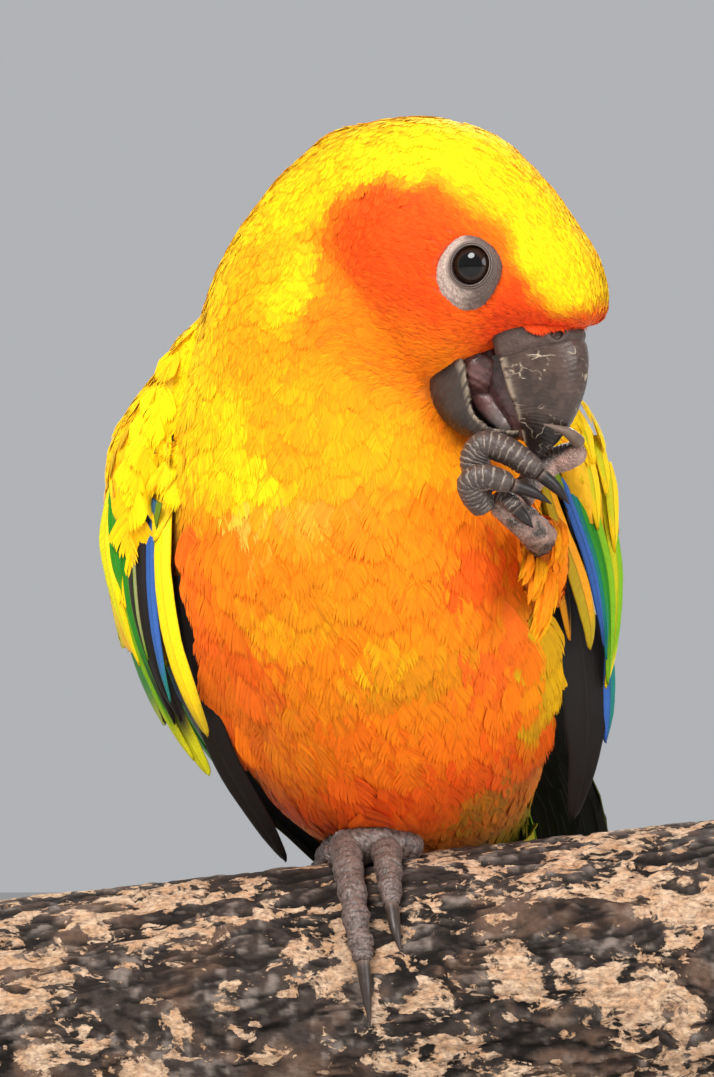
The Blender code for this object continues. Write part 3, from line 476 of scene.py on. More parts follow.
# softly edged patches: place, reach, colour, strength
breastPatches = (
    ((-24.0, -14.0, 66.0), (13.0, 16.0, 12.0), "yellow", 0.95),
    ((-17.0, -22.0, 57.0), (6.0, 12.0, 5.0), "yellow", 0.8),
    ((-17.2, -26.0, 50.5), (4.2, 12.0, 4.4), "pale", 0.85),
    ((-6.0, -26.0, 52.0), (5.0, 12.0, 4.0), "pale", 0.25),
    ((8.0, -26.0, 44.0), (9.0, 14.0, 4.0), "gold", 0.7),
    ((-6.0, -28.0, 40.0), (8.0, 14.0, 6.0), "olive", 0.55),
    ((-13.0, -28.0, 35.0), (7.0, 12.0, 4.0), "yellow", 0.35),
    ((9.0, -28.0, 28.0), (9.0, 14.0, 7.0), "olive", 0.6),
    ((3.0, -28.0, 31.0), (5.0, 12.0, 5.0), "yellow", 0.3),
    ((-19.0, -24.0, 26.0), (8.0, 14.0, 7.0), "belly", 0.9),
    ((-14.0, -24.0, 20.0), (6.0, 14.0, 8.0), "flame", 0.7),
    ((22.0, -24.0, 27.0), (7.0, 14.0, 9.0), "flame", 0.8),
    ((18.0, -24.0, 43.0), (6.0, 12.0, 7.0), "belly", 0.8),
    ((2.0, -26.0, 18.0), (9.0, 14.0, 6.0), "belly", 0.5),
    ((-12.0, -18.0, 8.0), (5.0, 14.0, 5.0), "flame", 0.7),
    ((9.0, -20.0, 8.0), (6.0, 12.0, 4.5), "lowerBelly", 0.9),
    ((-9.0, -14.0, 3.0), (7.0, 12.0, 5.0), "lowerBelly", 0.8),
    ((22.0, -8.0, 6.0), (8.0, 16.0, 7.0), "vent", 0.9),
    ((29.0, -10.0, 22.0), (3.5, 14.0, 14.0), "rump", 0.7),
)


# the yellow crown's lower edge: forward, height
crownRows = ((-24.0, -4.0), (-21.0, -1.3), (-15.0, 5.7), (-5.0, 10.8), (4.0, 10.4), (9.7, 5.8), (15.8, 3.4),
             (20.0, 2.6))


def stops(value, rows):
    # colours that run from one to the next, given as (value, colour) rows
    places = [row[0] for row in rows]
    shades = np.array([plumeLook[row[1]] for row in rows])
    return np.stack([np.interp(value, places, shades[:, k]) for k in range(3)], axis=-1)


def plumage(points):
    # the bird's colour at any place
    seed = 3
    down, around, _, _ = bodyPlace(points)
    f, l, t = headPlace(points)
    wander = (fractal(points, 9.0, seed, 3) - 0.5) * 14.0
    down = down + wander
    breast = stops(down, ((-30, "throat"), (-8, "upperBreast"), (8, "upperBreast"), (20, "breast"), (36, "gold"),
                          (50, "breast"), (60, "belly"), (70, "lowerBelly"), (82, "vent")))
    back = stops(down, ((-30, "nape"), (10, "mantle"), (45, "mantle"), (64, "rump"), (84, "green")))
    front = np.interp(down, (-20.0, 10.0, 34.0), (104.0, 98.0, 84.0))
    colour = blend(back, breast, ramp(np.abs(around) - front, 0.0, 34.0))
    for place, reach, name, strength in breastPatches:
        away = np.sqrt((((points - place) / reach) ** 2).sum(-1)) + wander * 0.03
        colour = blend(colour, plumeLook[name], strength * (1 - ramp(away, 0.55, 1.15)))
    edge = (fractal(points, 4.0, seed + 5, 3) - 0.5) * 6.0
    onHead = ramp(f, -28.0, -16.0) * ramp(t, -27.0, -19.0) * (1 - ramp(np.abs(l), 17.0, 21.0))
    onHead = np.maximum(onHead * (1 - ramp(f, 23.0, 26.0)), ramp(points[:, 2], 92.0, 98.0))
    head = stops(t + edge, ((-17, "throat"), (-10, "cheek")))
    face = 1 - ramp(np.sqrt(((f + 5.0) / 17.5) ** 2 + ((t + 1.0) / 12.0) ** 2) + edge * 0.05, 0.5, 1.15)
    head = blend(head, plumeLook["face"], 0.9 * face)
    lores = ramp(f + edge * 0.3, 6.0, 11.0) * (1 - ramp(np.abs(l), 13.0, 16.0))
    head = blend(head, plumeLook["lores"], 0.85 * lores)
    crownEdge = np.interp(f, *np.array(crownRows).T)
    head = blend(head, plumeLook["crown"], ramp(t + edge * 0.8 - crownEdge, -2.2, 2.6))
    seam = 0.78 * (f - 15.45) - 0.62 * (t + 2.4) - 1.6
    head = blend(head, plumeLook["lores"], 0.9 * ramp(seam + edge * 0.35, -5.2, -2.2) * ramp(t, -7.0, -4.0))
    hind = -20.0 + np.clip((-9.0 - t) / 5.7, 0.0, 1.0) * 5.0
    head = blend(head, plumeLook["nape"], 1 - ramp(f + edge - hind, -3.0, 3.0))
    return blend(colour, head, onHead)


# skin

# shade darkens the skin's plumage paint: painted shade for the depths between the feathers
skinLook = {"bodyInset": 1.2, "headInset": 0.75, "armInset": 0.9, "thighInset": 0.8, "voxel": 0.8, "smoothing": 6,
            "eyeSink": 1.5, "shade": 0.86}
# middle and radii
thighs = {"right": ((3.4, -3.0, 10.6), (8.2, 8.0, 6.6)), "left": ((29.0, -17.5, 46.0), (3.7, 8.4, 7.6))}


def bodyRings(grow):
    downs = np.interp(np.linspace(0, 12, 130), np.arange(len(bodySpans)), bodySpans)
    turns = np.linspace(0, 360, 120, endpoint=False)
    return onForm(bodyStations, downs[:, None], turns[None, :], grow)


def headRings(grow):
    rows = smoothRows(headStations, np.linspace(0, len(headStations) - 1, 90))
    turn = turnsOf(96)[None, :]
    high = np.cos(turn)
    reach = np.where(high > 0, rows[:, 2:3], rows[:, 3:4]) + grow
    return inHead(np.broadcast_to(rows[:, :1], reach.shape), np.sin(turn) * (rows[:, 4:5] + grow),
                  rows[:, 1:2] + high * reach)


def armShell(sign, grow):
    # the folded upper arm: a closed shell that rises out of the body and ends at the wing's front edge
    downs = np.linspace(-6.5, 36.0, 60)[:, None]
    shares = np.linspace(0.0, 1.0, 60)[None, :]
    over = ramp(downs, 3.0, 11.0)[..., None]
    long = np.clip((downs + 7.0) / 15.0, 0.0, 1.0) ** 0.8
    around = 24.0 + shares * (66.0 + 13.0 * long)
    edge = np.sqrt(np.maximum(0.0, 1 - ((around - 80.0) / 48.0) ** 2))
    downs = np.broadcast_to(downs, around.shape)
    lower = onForm(bodyStations, downs, around, -2.5, sign)
    front = ramp(around, 88.0, 103.0)
    raised = onForm(sleeveStations, downs, around, 4.0 - 4.5 * front, sign)
    inner = lower * (1 - over) + raised * over
    outer = onForm(sleeveStations, downs, around, 5.1 + 2.1 * edge * long - 2.2 * front, sign)
    start = onForm(bodyStations, downs, around, 1.4, sign)
    outer = start * (1 - long[..., None]) + outer * long[..., None]
    outward = unitRows(outer - lineHere[60, :3])
    outer = outer + outward * grow
    return shellOf(outer, inner)


def shellOf(upper, lower):
    # a closed shell from two grids of the same size
    rows, columns = upper.shape[:2]
    count = rows * columns
    points = np.concatenate((upper.reshape(-1, 3), lower.reshape(-1, 3)))
    sheet = gridFaces(rows, columns, False)
    rim = list(range(columns)) + [r * columns + columns - 1 for r in range(1, rows)]
    rim += [(rows - 1) * columns + c for c in range(columns - 2, -1, -1)]
    rim += [r * columns for r in range(rows - 2, 0, -1)]
    rim = np.array(rim)
    after = np.roll(rim, -1)
    wall = np.concatenate((np.stack((rim, rim + count, after + count), -1), np.stack((rim, after + count, after), -1)))
    return points, turnedOut(points, np.concatenate((sheet, sheet[:, ::-1] + count, wall)))


def ellipsoid(middle, radii, rows=40, columns=60):
    tall = np.linspace(0.02, math.pi - 0.02, rows)[:, None]
    turn = turnsOf(columns)[None, :]
    ring = np.stack(np.broadcast_arrays(np.sin(tall) * np.cos(turn), np.sin(tall) * np.sin(turn), np.cos(tall)), -1)
    return closedLoft(ring * np.asarray(radii) + np.asarray(middle))


def makeSkin():
    look = skinLook
    forms = [closedLoft(bodyRings(-look["bodyInset"])), closedLoft(headRings(-look["headInset"]))]
    for sign in (-1, 1):
        forms.append(armShell(sign, -look["armInset"]))
    for side in thighs:
        middle, radii = thighs[side]
        forms.append(ellipsoid(middle, np.asarray(radii) - look["thighInset"]))
    points, faces, count = [], [], 0
    for formPoints, formFaces in forms:
        points.append(formPoints)
        faces.append(formFaces + count)
        count += len(formPoints)
    mesh = meshFrom("skin", np.concatenate(points), np.concatenate(faces), (0.5, 0.3, 0.1))
    skin = bpy.data.objects.new("skin", mesh)
    bpy.context.scene.collection.objects.link(skin)
    bpy.ops.object.select_all(action="DESELECT")
    bpy.context.view_layer.objects.active = skin
    skin.select_set(True)
    remesh = skin.modifiers.new("Join", "REMESH")
    remesh.mode = "VOXEL"
    remesh.voxel_size = look["voxel"] * mm
    bpy.ops.object.modifier_apply(modifier="Join")
    smooth = skin.modifiers.new("Smooth", "SMOOTH")
    smooth.factor = 0.5
    smooth.iterations = look["smoothing"]
    bpy.ops.object.modifier_apply(modifier="Smooth")
    points = pointsOf(skin.data)
    for sign in (-1, 1):
        height, across, reach = fromEye(points, sign)
        across = across / reach
        sunk = np.minimum(height, look["eyeSink"] + (height - look["eyeSink"]) * ramp(across, 0.85, 1.12))
        moved = points + np.outer(sunk - height, eyeAxes(sign)[0])
        points = np.where(((height > 0) & (across < 1.2))[:, None], moved, points)
    skin.data.vertices.foreach_set("co", ((points + birdPlace) * mm).astype(np.float32).ravel())
    bpy.ops.object.mode_set(mode="EDIT")
    bpy.ops.mesh.select_all(action="SELECT")
    bpy.ops.mesh.normals_make_consistent(inside=False)
    bpy.ops.mesh.quads_convert_to_tris()
    bpy.ops.uv.smart_project(angle_limit=math.radians(66), island_margin=0.002)
    bpy.ops.object.mode_set(mode="OBJECT")
    skin.data.uv_layers[0].name = "OFBake"
    for layer in list(skin.data.color_attributes):
        skin.data.color_attributes.remove(layer)
    # the skin takes the plumage's colour, darkened as painted shade between the feathers
    paintMesh(skin.data, plumage(points) * look["shade"])
    skin.data.shade_smooth()
    keepPiece(skin, surface("skinPaint", 0.8, 0.15, 700.0, 0.3),
              ("head", "neck", "torso", "thigh_right", "thigh_left"))
    return skin


skin = makeSkin()
skinPoints = pointsOf(skin.data)
skinFaces = np.empty(len(skin.data.polygons) * 3, np.int32)
skin.data.loops.foreach_get("vertex_index", skinFaces)
skinFaces = skinFaces.reshape(-1, 3)
skinNormals = normalsOf(skinPoints, skinFaces)
skinPairs = np.empty(len(skin.data.loops) * 2, np.float32)
skin.data.uv_layers["OFBake"].uv.foreach_get("vector", skinPairs)
skinPairs = skinPairs.reshape(-1, 3, 2)
skinTree = BVHTree.FromPolygons(skinPoints.tolist(), skinFaces.tolist())
print("skin made:", len(skinFaces), "triangles")


# bill: ridge forward and height, cutting edge forward and height, half width

billLook = {"upper": tint(80, 63, 55), "dark": tint(34, 26, 23), "flake": tint(190, 172, 148), "ridges": 0.012,
            "lower": tint(62, 52, 46), "rim": tint(150, 132, 112), "cere": tint(78, 62, 55),
            "nostrilShade": tint(26, 18, 16), "tongue": tint(116, 104, 100), "mouth": tint(112, 74, 70), "arch": 181,
            "lowerArch": 45, "lowerRows": 90}
upperRows = np.array((
    (15.5, 2.2, 9.5, -4.5, 6.3),
    (18.9, 1.6, 12.0, -6.4, 6.5),
    (21.8, 0.0, 14.2, -8.4, 6.2),
    (24.2, -3.4, 16.8, -10.8, 5.5),
    (25.6, -7.4, 19.0, -12.6, 4.6),
    (26.1, -11.4, 20.3, -14.2, 3.5),
    (25.7, -15.0, 22.4, -16.6, 2.1),
    (24.9, -17.9, 24.2, -18.2, 0.6),
))
# the lower bill: forward, rim height, keel height, half width
lowerRows = np.array((
    (4.0, -11.0, -18.6, 5.0),
    (6.5, -11.0, -20.8, 6.0),
    (9.0, -12.0, -21.8, 6.4),
    (11.5, -14.6, -22.0, 6.1),
    (13.5, -16.8, -21.7, 5.5),
    (16.0, -17.7, -20.9, 4.7),
    (18.2, -17.2, -19.6, 3.6),
    (19.8, -16.4, -18.2, 2.4),
    (20.8, -15.6, -16.8, 1.2),
))
seamNormal = forward * 0.78 - top * 0.62
seamNormal /= np.linalg.norm(seamNormal)
seamPlace = inHead(15.45, 0.0, -2.4) + seamNormal * 1.6


def upperBillRings(rows=280, arch=billLook["arch"], under=15, grow=0.0):
    # rings round the upper bill: its arch from one cutting edge to the other, then its hollow underside
    at = np.linspace(0, len(upperRows) - 1, rows)
    given = smoothRows(upperRows, at)
    rise = given[:, 0:2] - given[:, 2:4]
    long = np.linalg.norm(rise, axis=1, keepdims=True)
    rise /= long
    turn = np.linspace(-0.5, 0.5, arch) * math.pi
    high = long * np.cos(turn)[None, :].clip(0) ** 0.8 + grow * np.cos(turn)[None, :]
    side = np.sin(turn)[None, :] * (given[:, 4:5] + grow)
    share = 1 - np.arange(1, under + 1) / (under + 1) * 2
    highUnder = long * 0.22 * (1 - share[None, :] ** 2) - grow
    sideUnder = share[None, :] * (given[:, 4:5] - 0.35)
    high = np.concatenate((high, highUnder), axis=1)
    side = np.concatenate((side, sideUnder), axis=1)
    return inHead(given[:, 2:3] + rise[:, :1] * high, side, given[:, 3:4] + rise[:, 1:2] * high), at


def makeUpperBill():
    look = billLook
    rings, at = upperBillRings()
    rows, columns = rings.shape[:2]
    points, faces = closedLoft(rings)
    normals = normalsOf(points, faces)
    beyond = (points - seamPlace) @ seamNormal
    place = np.concatenate((np.repeat(at, columns), at[:1], at[-1:]))
    wave = fractal(points, 3.0, 11, 3)
    grow = np.sin((place * 5.2 + np.abs(headPlace(points)[1]) * 0.30 + wave * 2.4) * fullTurn)
    # thin curved cracks, and pale scales along the cutting edges
    crack = np.abs(fractal(points, 3.4, 21, 3) - 0.5)
    flake = (1 - ramp(crack, 0.005, 0.015)) * ramp(fractal(points, 2.2, 25, 3), 0.47, 0.55)
    second = np.abs(fractal(points, 1.9, 27, 3) - 0.5)
    flake = np.maximum(flake, 0.7 * (1 - ramp(second, 0.005, 0.018)) * ramp(fractal(points, 3.0, 29, 2), 0.53, 0.6))
    last = look["arch"] - 1
    column = np.concatenate((np.tile(np.arange(columns), rows), (last // 2, last // 2)))
    rim = np.exp(-(np.minimum(column, np.abs(column - last)) / 2.4) ** 2) * ramp(fractal(points, 0.8, 33, 3), 0.42, 0.6)
    flake = np.maximum(flake * ramp(beyond, 0.2, 1.0), 0.8 * rim) * (1 - ramp(place, 5.9, 6.7))
    shape = look["ridges"] * grow + 0.07 * flake + 0.09 * (fractal(points, 0.9, 31, 3) - 0.5)
    points = points + normals * (shape * ramp(place, 0.3, 1.0) * (1 - ramp(place, 6.4, 7.0)))[:, None]
    colour = blend(look["upper"], look["dark"], ramp(place + wave, 4.0, 6.2))
    colour = blend(colour, look["dark"], 0.6 * ramp(fractal(points, 2.6, 41, 4), 0.42, 0.66))
    colour = blend(colour, look["dark"], 0.16 * ramp(grow, 0.0, 1.0))
    colour = blend(colour, look["flake"], 0.72 * flake)
    addPiece("bill_upper_render", points, faces, colour,
             surface("billHorn", 0.3, 0.14, 900.0, 0.2, 1400.0, Specular_IOR_Level=0.35), ("bill_upper",))


def makeCere():
    look = billLook
    points, faces = closedLoft(upperBillRings(rows=150, arch=91, under=21)[0])
    normals = normalsOf(points, faces)
    beyond = (points - seamPlace) @ seamNormal
    swell = 0.45 * (1 - ramp(beyond, -0.9, 0.25)) - 1.3 * ramp(beyond, -0.1, 0.9)
    wrinkle = fractal(points, 1.1, 51, 4) - 0.5
    # dark marks where the nostrils' painted shade goes
    dark = np.zeros(len(points))
    for sign in (-1, 1):
        hole = inHead(17.9, sign * 3.9, 0.1)
        away = np.linalg.norm(points - hole, axis=1)
        swell += 0.35 * np.exp(-((away - 1.5) / 0.5) ** 2) - 1.1 * (1 - ramp(away, 0.35, 1.05))
        dark = np.maximum(dark, 1 - ramp(away, 0.7, 1.15))
    points = points + normals * (swell + 0.22 * wrinkle)[:, None]
    keep = (beyond[faces] < 1.3).all(1)
    faces = faces[keep]
    used = np.unique(faces)
    number = np.full(len(points), -1)
    number[used] = np.arange(len(used))
    colour = blend(look["cere"], look["dark"], 0.4 * ramp(wrinkle, 0.0, 0.3))
    # the nostrils painted near black: painted shade in their openings
    colour = blend(colour, look["nostrilShade"], dark)
    addPiece("cere_render", points[used], number[faces], colour[used],
             surface("cereSkin", 0.5, 0.15, 1200.0, 0.4, 2200.0, Specular_IOR_Level=0.3), ("cere",))


def makeLowerBill():
    look = billLook
    at = np.linspace(0, len(lowerRows) - 1, look["lowerRows"])
    columns = 2 * look["lowerArch"]
    given = smoothRows(lowerRows, at)
    turn = np.linspace(-0.5, 0.5, look["lowerArch"]) * math.pi
    deep = given[:, 1:2] - given[:, 2:3]
    wide = given[:, 3:4]
    thick = np.minimum(0.9, wide * 0.45)
    drop = deep * np.cos(turn)[None, :].clip(0) ** 0.7
    hollow = 0.72 * (1 - ramp(at, 5.8, 7.4))[:, None]
    dropIn = deep * hollow * np.cos(turn)[None, ::-1].clip(0) ** 0.7
    f = np.broadcast_to(given[:, :1], (len(at), columns))
    side = np.concatenate((np.sin(turn)[None, :] * wide, np.sin(turn)[None, ::-1] * (wide - thick)), axis=1)
    high = given[:, 1:2] - np.concatenate((drop, dropIn), axis=1)
    points, faces = closedLoft(inHead(f, side, high))
    normals = normalsOf(points, faces)
    place = np.concatenate((np.repeat(at, columns), at[:1], at[-1:]))
    below = np.interp(place, np.arange(len(lowerRows)), lowerRows[:, 1]) - headPlace(points)[2]
    nearRim = 1 - ramp(below, 0.1, 0.7)
    grow = np.sin((place * 3.2 + below * 0.22 + fractal(points, 2.4, 12, 3) * 2.0) * fullTurn)
    rough = fractal(points, 1.0, 61, 4)
    points = points + normals * (0.07 * grow + 0.14 * (rough - 0.5) + 0.12 * nearRim * ramp(rough, 0.45, 0.6))[:, None]
    colour = blend(look["lower"], look["dark"], 0.6 * ramp(fractal(points, 2.6, 71, 3), 0.4, 0.65))
    colour = blend(colour, look["rim"], 0.8 * nearRim * ramp(rough, 0.42, 0.55))
    addPiece("bill_lower_render", points, faces, colour,
             surface("billLowerHorn", 0.42, 0.14, 900.0, 0.3, 1400.0, Specular_IOR_Level=0.3),
             ("bill_lower",))


def tubeRings(path, radii, rows, columns, endRound=True):
    # rings along a path, drawn in to a round end
    both = smoothRows(np.column_stack((path, radii)), np.linspace(0, len(path) - 1, rows))
    path, radii = both[:, :3], both[:, 3]
    _, side, up = frameAlong(path)
    if endRound:
        spans = spansOf(path)
        back = spans[-1] - spans
        radii = radii * np.sqrt(np.clip(1 - (1 - np.clip(back / radii, 0, 1)) ** 2, 0.01, 1))
    turn = turnsOf(columns)
    ring = np.cos(turn)[None, :, None] * side[:, None, :] + np.sin(turn)[None, :, None] * up[:, None, :]
    return path[:, None, :] + ring * radii[:, None, None]


# along the head's middle: forward, height and half width
tongueRows = ((8.0, -14.6, 2.2), (11.5, -15.2, 2.3), (14.8, -15.9, 2.1), (17.0, -16.4, 1.7), (19.2, -16.9, 1.5))
roofRows = ((11.0, -8.5, 3.8), (14.5, -11.2, 3.6), (17.5, -13.2, 2.9), (19.9, -15.0, 2.1), (21.6, -17.0, 1.1))


def mouthTube(rows, count):
    path = np.array([inHead(f, 0.0, t) for f, t, _ in rows])
    return closedLoft(tubeRings(path, np.array(rows)[:, 2], count, 48))


def makeTongue():
    look = billLook
    points, faces = mouthTube(tongueRows, 70)
    wrinkle = fractal(points, 0.8, 81, 4) - 0.5
    points = points + normalsOf(points, faces) * (0.16 * wrinkle)[:, None]
    colour = blend(look["mouth"], look["tongue"], ramp(headPlace(points)[0], 13.0, 17.0))
    # painted light and shade: lighter where the wrinkles stand out, darker in their hollows
    colour = colour * (1 + 0.5 * wrinkle)[:, None]
    addPiece("tongue_render", points, faces, colour,
             surface("tongueSkin", 0.32, 0.12, 1400.0, 0.3, 2000.0, Coat_Weight=0.3), ("tongue",))


def makeMouth():
    look = billLook
    points, faces = ellipsoid((0, 0, 0), (4.2, 5.2, 5.0), 60, 90)
    points = inHead(9.5 + points[:, 0], points[:, 1], -11.5 + points[:, 2])
    t = headPlace(points)[2]
    fold = np.sin((t * 1.1 + fractal(points, 2.5, 91, 3) * 2.2) * fullTurn / 1.6)
    swell = 0.07 * fold + 0.4 * (fractal(points, 1.2, 92, 3) - 0.5)
    points = points + normalsOf(points, faces) * swell[:, None]
    # painted light and shade: lighter on the raised folds, and darkened towards the top, up inside the mouth, as its
    # shade
    colour = look["mouth"] * (0.95 + 0.12 * fold - 0.6 * ramp(t, -13.0, -8.0))[:, None]
    # the roof of the mouth, up under the upper bill, painted dark as the shade deep in the mouth and lighter on its
    # raised ridges and lower edge
    roof, roofFaces = mouthTube(roofRows, 60)
    ridge = fractal(roof, 1.0, 93, 3) - 0.5
    roof = roof + normalsOf(roof, roofFaces) * (0.3 * ridge)[:, None]
    light = 0.22 + 0.4 * ridge + 0.3 * (1 - ramp(headPlace(roof)[2], -16.0, -11.0))
    colour = np.concatenate((colour, look["mouth"] * light[:, None]))
    faces = np.concatenate((faces, roofFaces + len(points)))
    addPiece("mouth_render", np.concatenate((points, roof)), faces, colour,
             surface("mouthSkin", 0.35, 0.12, 1200.0, 0.3, 1800.0, Coat_Weight=0.25), ("mouth",))


makeUpperBill()
makeCere()
makeLowerBill()
makeTongue()
makeMouth()
print("bill made")


# eyes and their rings of bare skin

# upper is the bare ring's colour darkened as painted shade above and in front of the eye
eyeLook = {"pupil": tint(5, 4, 4), "iris": tint(36, 21, 13), "edge": tint(16, 10, 8), "pupilReach": 24.0,
           "irisReach": 41.0, "cornea": 0.25, "skin": tint(200, 172, 158), "rim": tint(54, 42, 38),
           "fold": tint(88, 68, 62), "upper": tint(74, 56, 48), "beads": 44, "opening": 2.72, "openingTall": 1.10}
# the lids' section: distance from the eye's axis as a share between opening and outer edge, height along the axis
lidProfile = np.array(((0.00, 2.80), (-0.01, 3.35), (0.02, 3.78), (0.10, 4.02), (0.19, 3.98), (0.25, 3.80),
                       (0.32, 3.84), (0.40, 3.78), (0.46, 3.62), (0.60, 3.50), (0.78, 3.22), (0.95, 2.75),
                       (1.10, 2.1), (1.12, 1.3), (0.90, 0.8), (0.55, 0.9), (0.35, 1.4), (0.20, 2.0)))


def makeEyeball(side, sign):
    look = eyeLook
    out, fore, up = eyeAxes(sign)
    tall = np.radians(np.linspace(0.6, 179.4, 110))[:, None]
    turn = turnsOf(120)[None, :]
    bulge = eyeRadius + look["cornea"] * np.exp(-(np.degrees(tall) / 34.0) ** 4)
    rings = eyeMiddle(sign) + (np.cos(tall) * bulge + 0 * turn)[..., None] * out
    rings = rings + (np.sin(tall) * np.cos(turn) * eyeRadius)[..., None] * fore
    rings = rings + (np.sin(tall) * np.sin(turn) * eyeRadius)[..., None] * up
    points, faces = closedLoft(rings)
    offset = unitRows(points - eyeMiddle(sign))
    angle = np.degrees(np.arccos(np.clip(offset @ out, -1, 1)))
    spoke = np.arctan2(offset @ up, offset @ fore)
    streak = fractal(np.stack((np.cos(spoke) * 6, np.sin(spoke) * 6, angle * 0.05), -1), 0.7, 101, 3)
    colour = blend(look["pupil"], look["iris"] * (0.6 + 0.9 * streak)[:, None],
                   ramp(angle, look["pupilReach"] - 1.0, look["pupilReach"] + 1.5))
    colour = blend(colour, look["edge"], ramp(angle, look["irisReach"] - 6, look["irisReach"] + 1))
    addPiece("eye_%s_render" % side, points, faces, colour,
             surface("eyeGloss_" + side, 0.05, 0.05, 900.0, Coat_Weight=0.3, Coat_Roughness=0.02,
                     Specular_IOR_Level=0.2), ("eye_" + side,))


def makeLids(side, sign):
    # a folded ring of bare skin round the eye, with fine beads along its opening
    look = eyeLook
    out, fore, up = eyeAxes(sign)
    count, sides = 220, 84
    profile = smoothRows(np.vstack((lidProfile, lidProfile[:1])), np.linspace(0, len(lidProfile), sides + 1))[:-1]
    turn = turnsOf(count)[:, None]
    opening = look["opening"] * np.hypot(np.cos(turn), look["openingTall"] * np.sin(turn))
    reach = ringReach(turn) + 0.4
    share = profile[None, :, 0]
    wide = 0.54 + (share - 0.4) / 0.6 * (reach - opening - 0.54)
    radius = opening + np.where(share < 0.4, share * 1.35, wide)
    slope = np.clip(share - 0.4, 0, 2) * (reach - 4.3).clip(0)
    height = profile[None, :, 1] - 0.42 * slope
    height = height + 0.07 * np.sin(turn * look["beads"]) * np.exp(-((share - 0.12) / 0.09) ** 2)
    height = height + 0.05 * np.sin(turn * look["beads"] * 1.5 + 1.0) * np.exp(-((share - 0.36) / 0.09) ** 2)
    spokes = fore * np.cos(turn) + up * np.sin(turn)
    rings = eyeMiddle(sign) + spokes[:, None, :] * radius[..., None] + height[..., None] * out
    faces = gridFaces(count, sides)
    wrap = gridFaces(2, sides)
    wrap = np.where(wrap >= sides, wrap - sides, wrap + (count - 1) * sides)
    points = rings.reshape(-1, 3)
    faces = turnedOut(points - eyeMiddle(sign), np.concatenate((faces, wrap)))
    normals = normalsOf(points, faces)
    flat = np.broadcast_to(share, rings.shape[:2]).ravel()
    around = np.repeat(turn.ravel(), sides)
    grain = cellGap(points, 0.42, 120)
    crease = np.sin(flat * fullTurn / 0.17 + 3.0 * fractal(points, 2.0, 111, 3))
    outer = ramp(flat, 0.38, 0.5)
    points = points + normals * ((0.05 * crease + 0.09 * ramp(grain, 0.0, 0.3)) * outer)[:, None]
    # painted shade: the bare skin darker above and in front of the eye
    shaded = 0.45 * np.sin(around) + 0.66 * np.cos(around) + 0.5 * (fractal(points, 1.2, 115, 3) - 0.5)
    skinShade = blend(look["skin"], look["upper"], 0.9 * ramp(shaded, -0.55, 0.2))
    colour = blend(look["rim"], skinShade, ramp(flat, 0.36, 0.56))
    colour = blend(colour, look["fold"], (0.5 * (1 - ramp(grain, 0.0, 0.2)) + 0.15 * ramp(crease, 0.3, 1.0)) * outer)
    ridge = np.exp(-((flat - 0.36) / 0.04) ** 2) + 0.8 * np.exp(-((flat - 0.14) / 0.05) ** 2)
    colour = blend(colour, look["skin"], 0.35 * ridge)
    addPiece("eyelids_%s_render" % side, points, faces, colour,
             surface("lidSkin_" + side, 0.55, 0.1, 1500.0, 0.3, 2600.0, Subsurface_Weight=0.1),
             ("eyelids_" + side,))


for side, sign in bothSides:
    makeEyeball(side, sign)
    makeLids(side, sign)
print("eyes made")


# feet

# raised is the standing foot's colour darkened as painted shade on the foot held up at the bill
footLook = {"standing": tint(108, 91, 84), "raised": tint(74, 60, 54), "line": tint(204, 186, 168),
            "standingLine": tint(46, 38, 36), "sole": tint(204, 160, 144), "claw": tint(36, 29, 27),
            "clawPale": tint(112, 92, 80), "scute": (0.5, 0.6), "cell": 0.55, "slim": 0.84, "crease": 1.15,
            "clawRadii": (1.12, 0.84, 0.1)}
perchRadius = 25.5
perchRise = 6.4  # degrees
# toes on the perch: degrees round it from its top and X, radii, then the claw's own places
standingToes = {
    "1": (((-4, 6.2), (-16, 7.6), (-30, 8.8)), (2.6, 2.3, 1.7), ((-30, 8.8), (-40, 9.6), (-49, 10.2))),
    "2": (((8, 4.4), (22, 4.6), (36, 5.0), (46, 5.3)), (2.7, 2.4, 2.0, 1.6), ((46, 5.3), (55, 5.8), (63, 6.6))),
    "3": (((8, -1.4), (24, -1.4), (42, -0.6), (58, 0.4), (66, 0.9)), (3.0, 2.6, 2.3, 2.0, 1.6),
          ((66, 0.9), (76, 1.4), (88, 2.0))),
    "4": (((-4, -2.4), (-20, -4.2), (-38, -5.6), (-52, -6.4)), (2.8, 2.4, 2.1, 1.6),
          ((-52, -6.4), (-62, -6.9), (-72, -7.2))),
}
